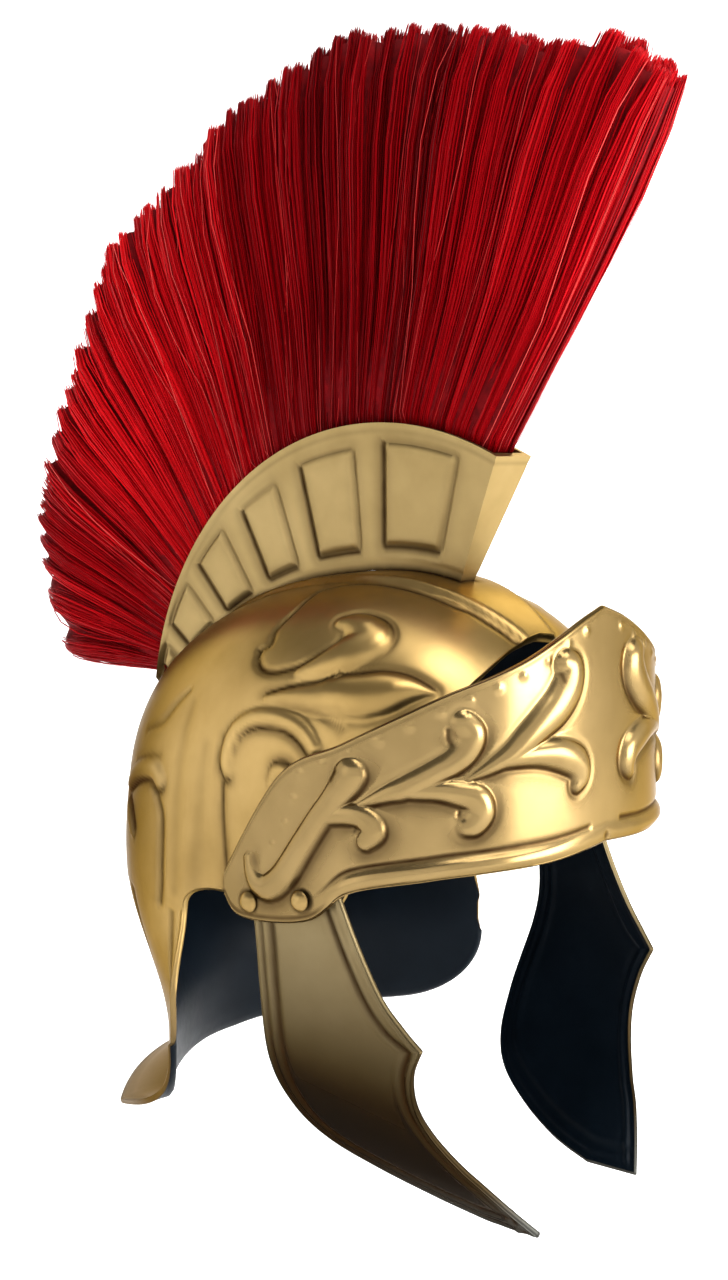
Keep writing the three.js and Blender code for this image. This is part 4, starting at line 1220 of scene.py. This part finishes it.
def build_shells():
    lining = lining_material()
    # The pieces share one gold paint; each copy here has its base colour and specular tint set lighter
    # or darker as painted light and shade for that piece
    shell = gold_material("antique_gold_shell", (0.34, 0.228, 0.085), (0.24, 0.155, 0.052), 0.32, 0.55,
                          # Painted shade towards the back and the bottom, and a paler painted sheen
                          # along the flange's edge
                          fades=[("Y", 0.020, 0.075, (0.085, 0.056, 0.026)),
                                 ("Z", -0.120, -0.200, (0.085, 0.057, 0.027)),
                                 ("Z", -0.214, -0.224, (0.175, 0.148, 0.120))])
    visor = gold_material("antique_gold_visor", (0.225, 0.154, 0.064), (0.165, 0.111, 0.043), 0.22, 0.6)
    cheek = gold_material("antique_gold_cheek", (0.19, 0.147, 0.077), (0.145, 0.108, 0.052), 0.43, 0.3,
                          # Painted shade: the lower part turns near black for the dark it would
                          # reflect, and a paler painted sheen at the tip
                          fades=[("Z", -0.108, -0.196, (0.018, 0.0118, 0.005)),
                                 ("Z", -0.222, -0.248, (0.045, 0.045, 0.040))])
    crest = gold_material("antique_gold_crest", (0.285, 0.204, 0.086), (0.215, 0.150, 0.059), 0.33, 0.7)
    rivet = gold_material("antique_gold_rivet", (0.30, 0.205, 0.080), (0.20, 0.130, 0.046), 0.3, 0.6)

    settle(bowl_piece([shell, lining]), "gold_shell", "bowl")
    settle(visor_piece([visor, lining]), "gold_visor", "visor")
    cheek_mesh = cheek_shape()
    for label, mirror in (("left", False), ("right", True)):
        piece = cheek_mesh.mesh_object(f"cheek_{label}_bordered", [cheek, lining], mirror)
        settle(piece, "gold_cheek", f"cheek_guard_{label}")
    settle(crest_piece([crest]), "gold_crest", "crest_box")
    for place in RIVETS:
        for label, side in (("left", 1), ("right", -1)):
            piece = rivet_piece(f"rivet_{label}_{place}_domed", place, side, [rivet])
            settle(piece, "gold_rivet", f"rivet_{label}_{place}")


def build_plume():
    strand = hair_material("red_hair_strands", (0.045, 0.0002, 0.0008), (0.26, 0.0008, 0.0030),
                           (0.72, 0.006, 0.010))
    stray = hair_material("red_hair_stray", (0.45, 0.02, 0.02), (0.60, 0.05, 0.045),
                          (0.75, 0.12, 0.10))
    settle(plume_core([core_material()]), "red_hair", "plume")
    count = 4300
    # Layers of hair as (name, seed, strands, radius, range of depth in the fan, options)
    for name, seed, number, radius, depths, options in [
        ("outer", 3, count, 0.36, (0.80, 1.0), {"materials": [strand]}),
        ("middle", 5, count * 9 // 10, 0.42, (0.45, 0.9), {"materials": [strand]}),
        ("fine", 7, count, 0.24, (0.0, 1.03), {"materials": [strand], "tones": (0.3, 1.2)}),
        ("stray", 9, 110, 0.14, (0.98, 1.1), {"materials": [stray], "loose": 1.0}),
    ]:
        settle(hair_piece(f"plume_hair_{name}", seed, number, radius, depths, **options), "red_hair")


def area_light(name, location, target, size, power):
    """Soft rectangular light, aimed at a place."""
    data = bpy.data.lights.new(name, "AREA")
    data.shape = "RECTANGLE"
    data.size, data.size_y = size
    data.energy = power
    light = bpy.data.objects.new(name, data)
    light.visible_camera = False
    light.location = location
    aim = Vector(target) - Vector(location)
    light.rotation_euler = aim.to_track_quat("-Z", "Y").to_euler()
    bpy.context.scene.collection.objects.link(light)


# The photo's camera: how far round to the wearer's right it stands, and how it looks down
CAMERA_TURN, CAMERA_DIP = math.radians(48.9), math.atan(190 / 1600)
CAMERA_DISTANCE, CAMERA_HEIGHT = 0.7, 0.058


def level(turn, distance, height=0.0):
    """Place at a turn from the wearer's front towards the wearer's left."""
    return Vector((math.sin(turn) * distance, -math.cos(turn) * distance, height))


def build_camera():
    data = bpy.data.cameras.new("camera")
    data.lens, data.sensor_width, data.sensor_fit = 45, 36, "AUTO"
    data.clip_start = 0.02
    camera = bpy.data.objects.new("camera", data)
    camera.location = level(-CAMERA_TURN, CAMERA_DISTANCE, CAMERA_HEIGHT)
    look = level(-CAMERA_TURN, -math.cos(CAMERA_DIP), -math.sin(CAMERA_DIP))
    camera.rotation_euler = look.to_track_quat("-Z", "Y").to_euler()
    bpy.context.scene.collection.objects.link(camera)
    bpy.context.scene.camera = camera


def build_stage():
    """Pale floor that curves up into a backdrop all round, far from the helmet."""
    floor_z, flat, bend, top = -0.262, 1.7, 0.7, 1.95
    profile = [(0.4, 0.0), (1.2, 0.0), (flat, 0.0)]
    for turn in np.linspace(math.pi / 24, math.pi / 2, 12):
        profile.append((flat + bend * math.sin(turn), bend * (1 - math.cos(turn))))
    profile.append((flat + bend, top))
    turns = np.linspace(0, 2 * math.pi, 64, endpoint=False)
    shape = Shape()
    tip = shape.add(np.array([[0, 0, floor_z * 1000]]))[0]
    rings = [np.stack([r * np.cos(turns), r * np.sin(turns), 0 * turns + floor_z + z], -1)
             for r, z in profile]
    rows = shape.add(np.stack(rings) * 1000)
    shape.fan(tip, rows[0])
    shape.grid(rows, around=True)
    shape.mesh_object("backdrop", [backdrop_material()])


def build_lights():
    world = bpy.data.worlds.new("studio")
    bpy.context.scene.world = world
    world.use_nodes = True
    background = world.node_tree.nodes["Background"]
    background.inputs["Color"].default_value = (1, 1, 1, 1)
    background.inputs["Strength"].default_value = 0.34
    brow_turn = math.radians(20)
    right = level(-CAMERA_TURN + math.pi / 2, 1.0)
    back = level(-CAMERA_TURN, 1.0)
    area_light("brow", level(brow_turn, 1.15, 0.02), (0, -0.08, -0.06), (0.66, 0.50), 19)
    area_light("key", level(brow_turn, 0.95, 0.75), (0, 0, 0), (0.5, 0.4), 6)
    area_light("crown", (-0.1, -0.5, 1.25), (0, -0.05, -0.03), (0.55, 0.5), 10)
    area_light("far", (1.03, 0.13, 0.78), (0, -0.08, -0.01), (0.5, 0.45), 3)
    area_light("high", back * 0.85 + right * 0.75 + Vector((0, 0, 1.15)), (0, 0, 0), (0.5, 0.5), 7)
    area_light("fill", back - right * 1.3 + Vector((0, 0, 0.45)), (0, 0, 0), (0.8, 1.2), 2)
    area_light("over", (0.1, 0.2, 1.6), (0, 0, 0), (0.8, 0.8), 7)


scene = bpy.context.scene
scene.view_settings.view_transform = "Standard"
scene.view_settings.look = "None"

build_camera()
build_stage()
build_lights()
build_shells()
build_plume()
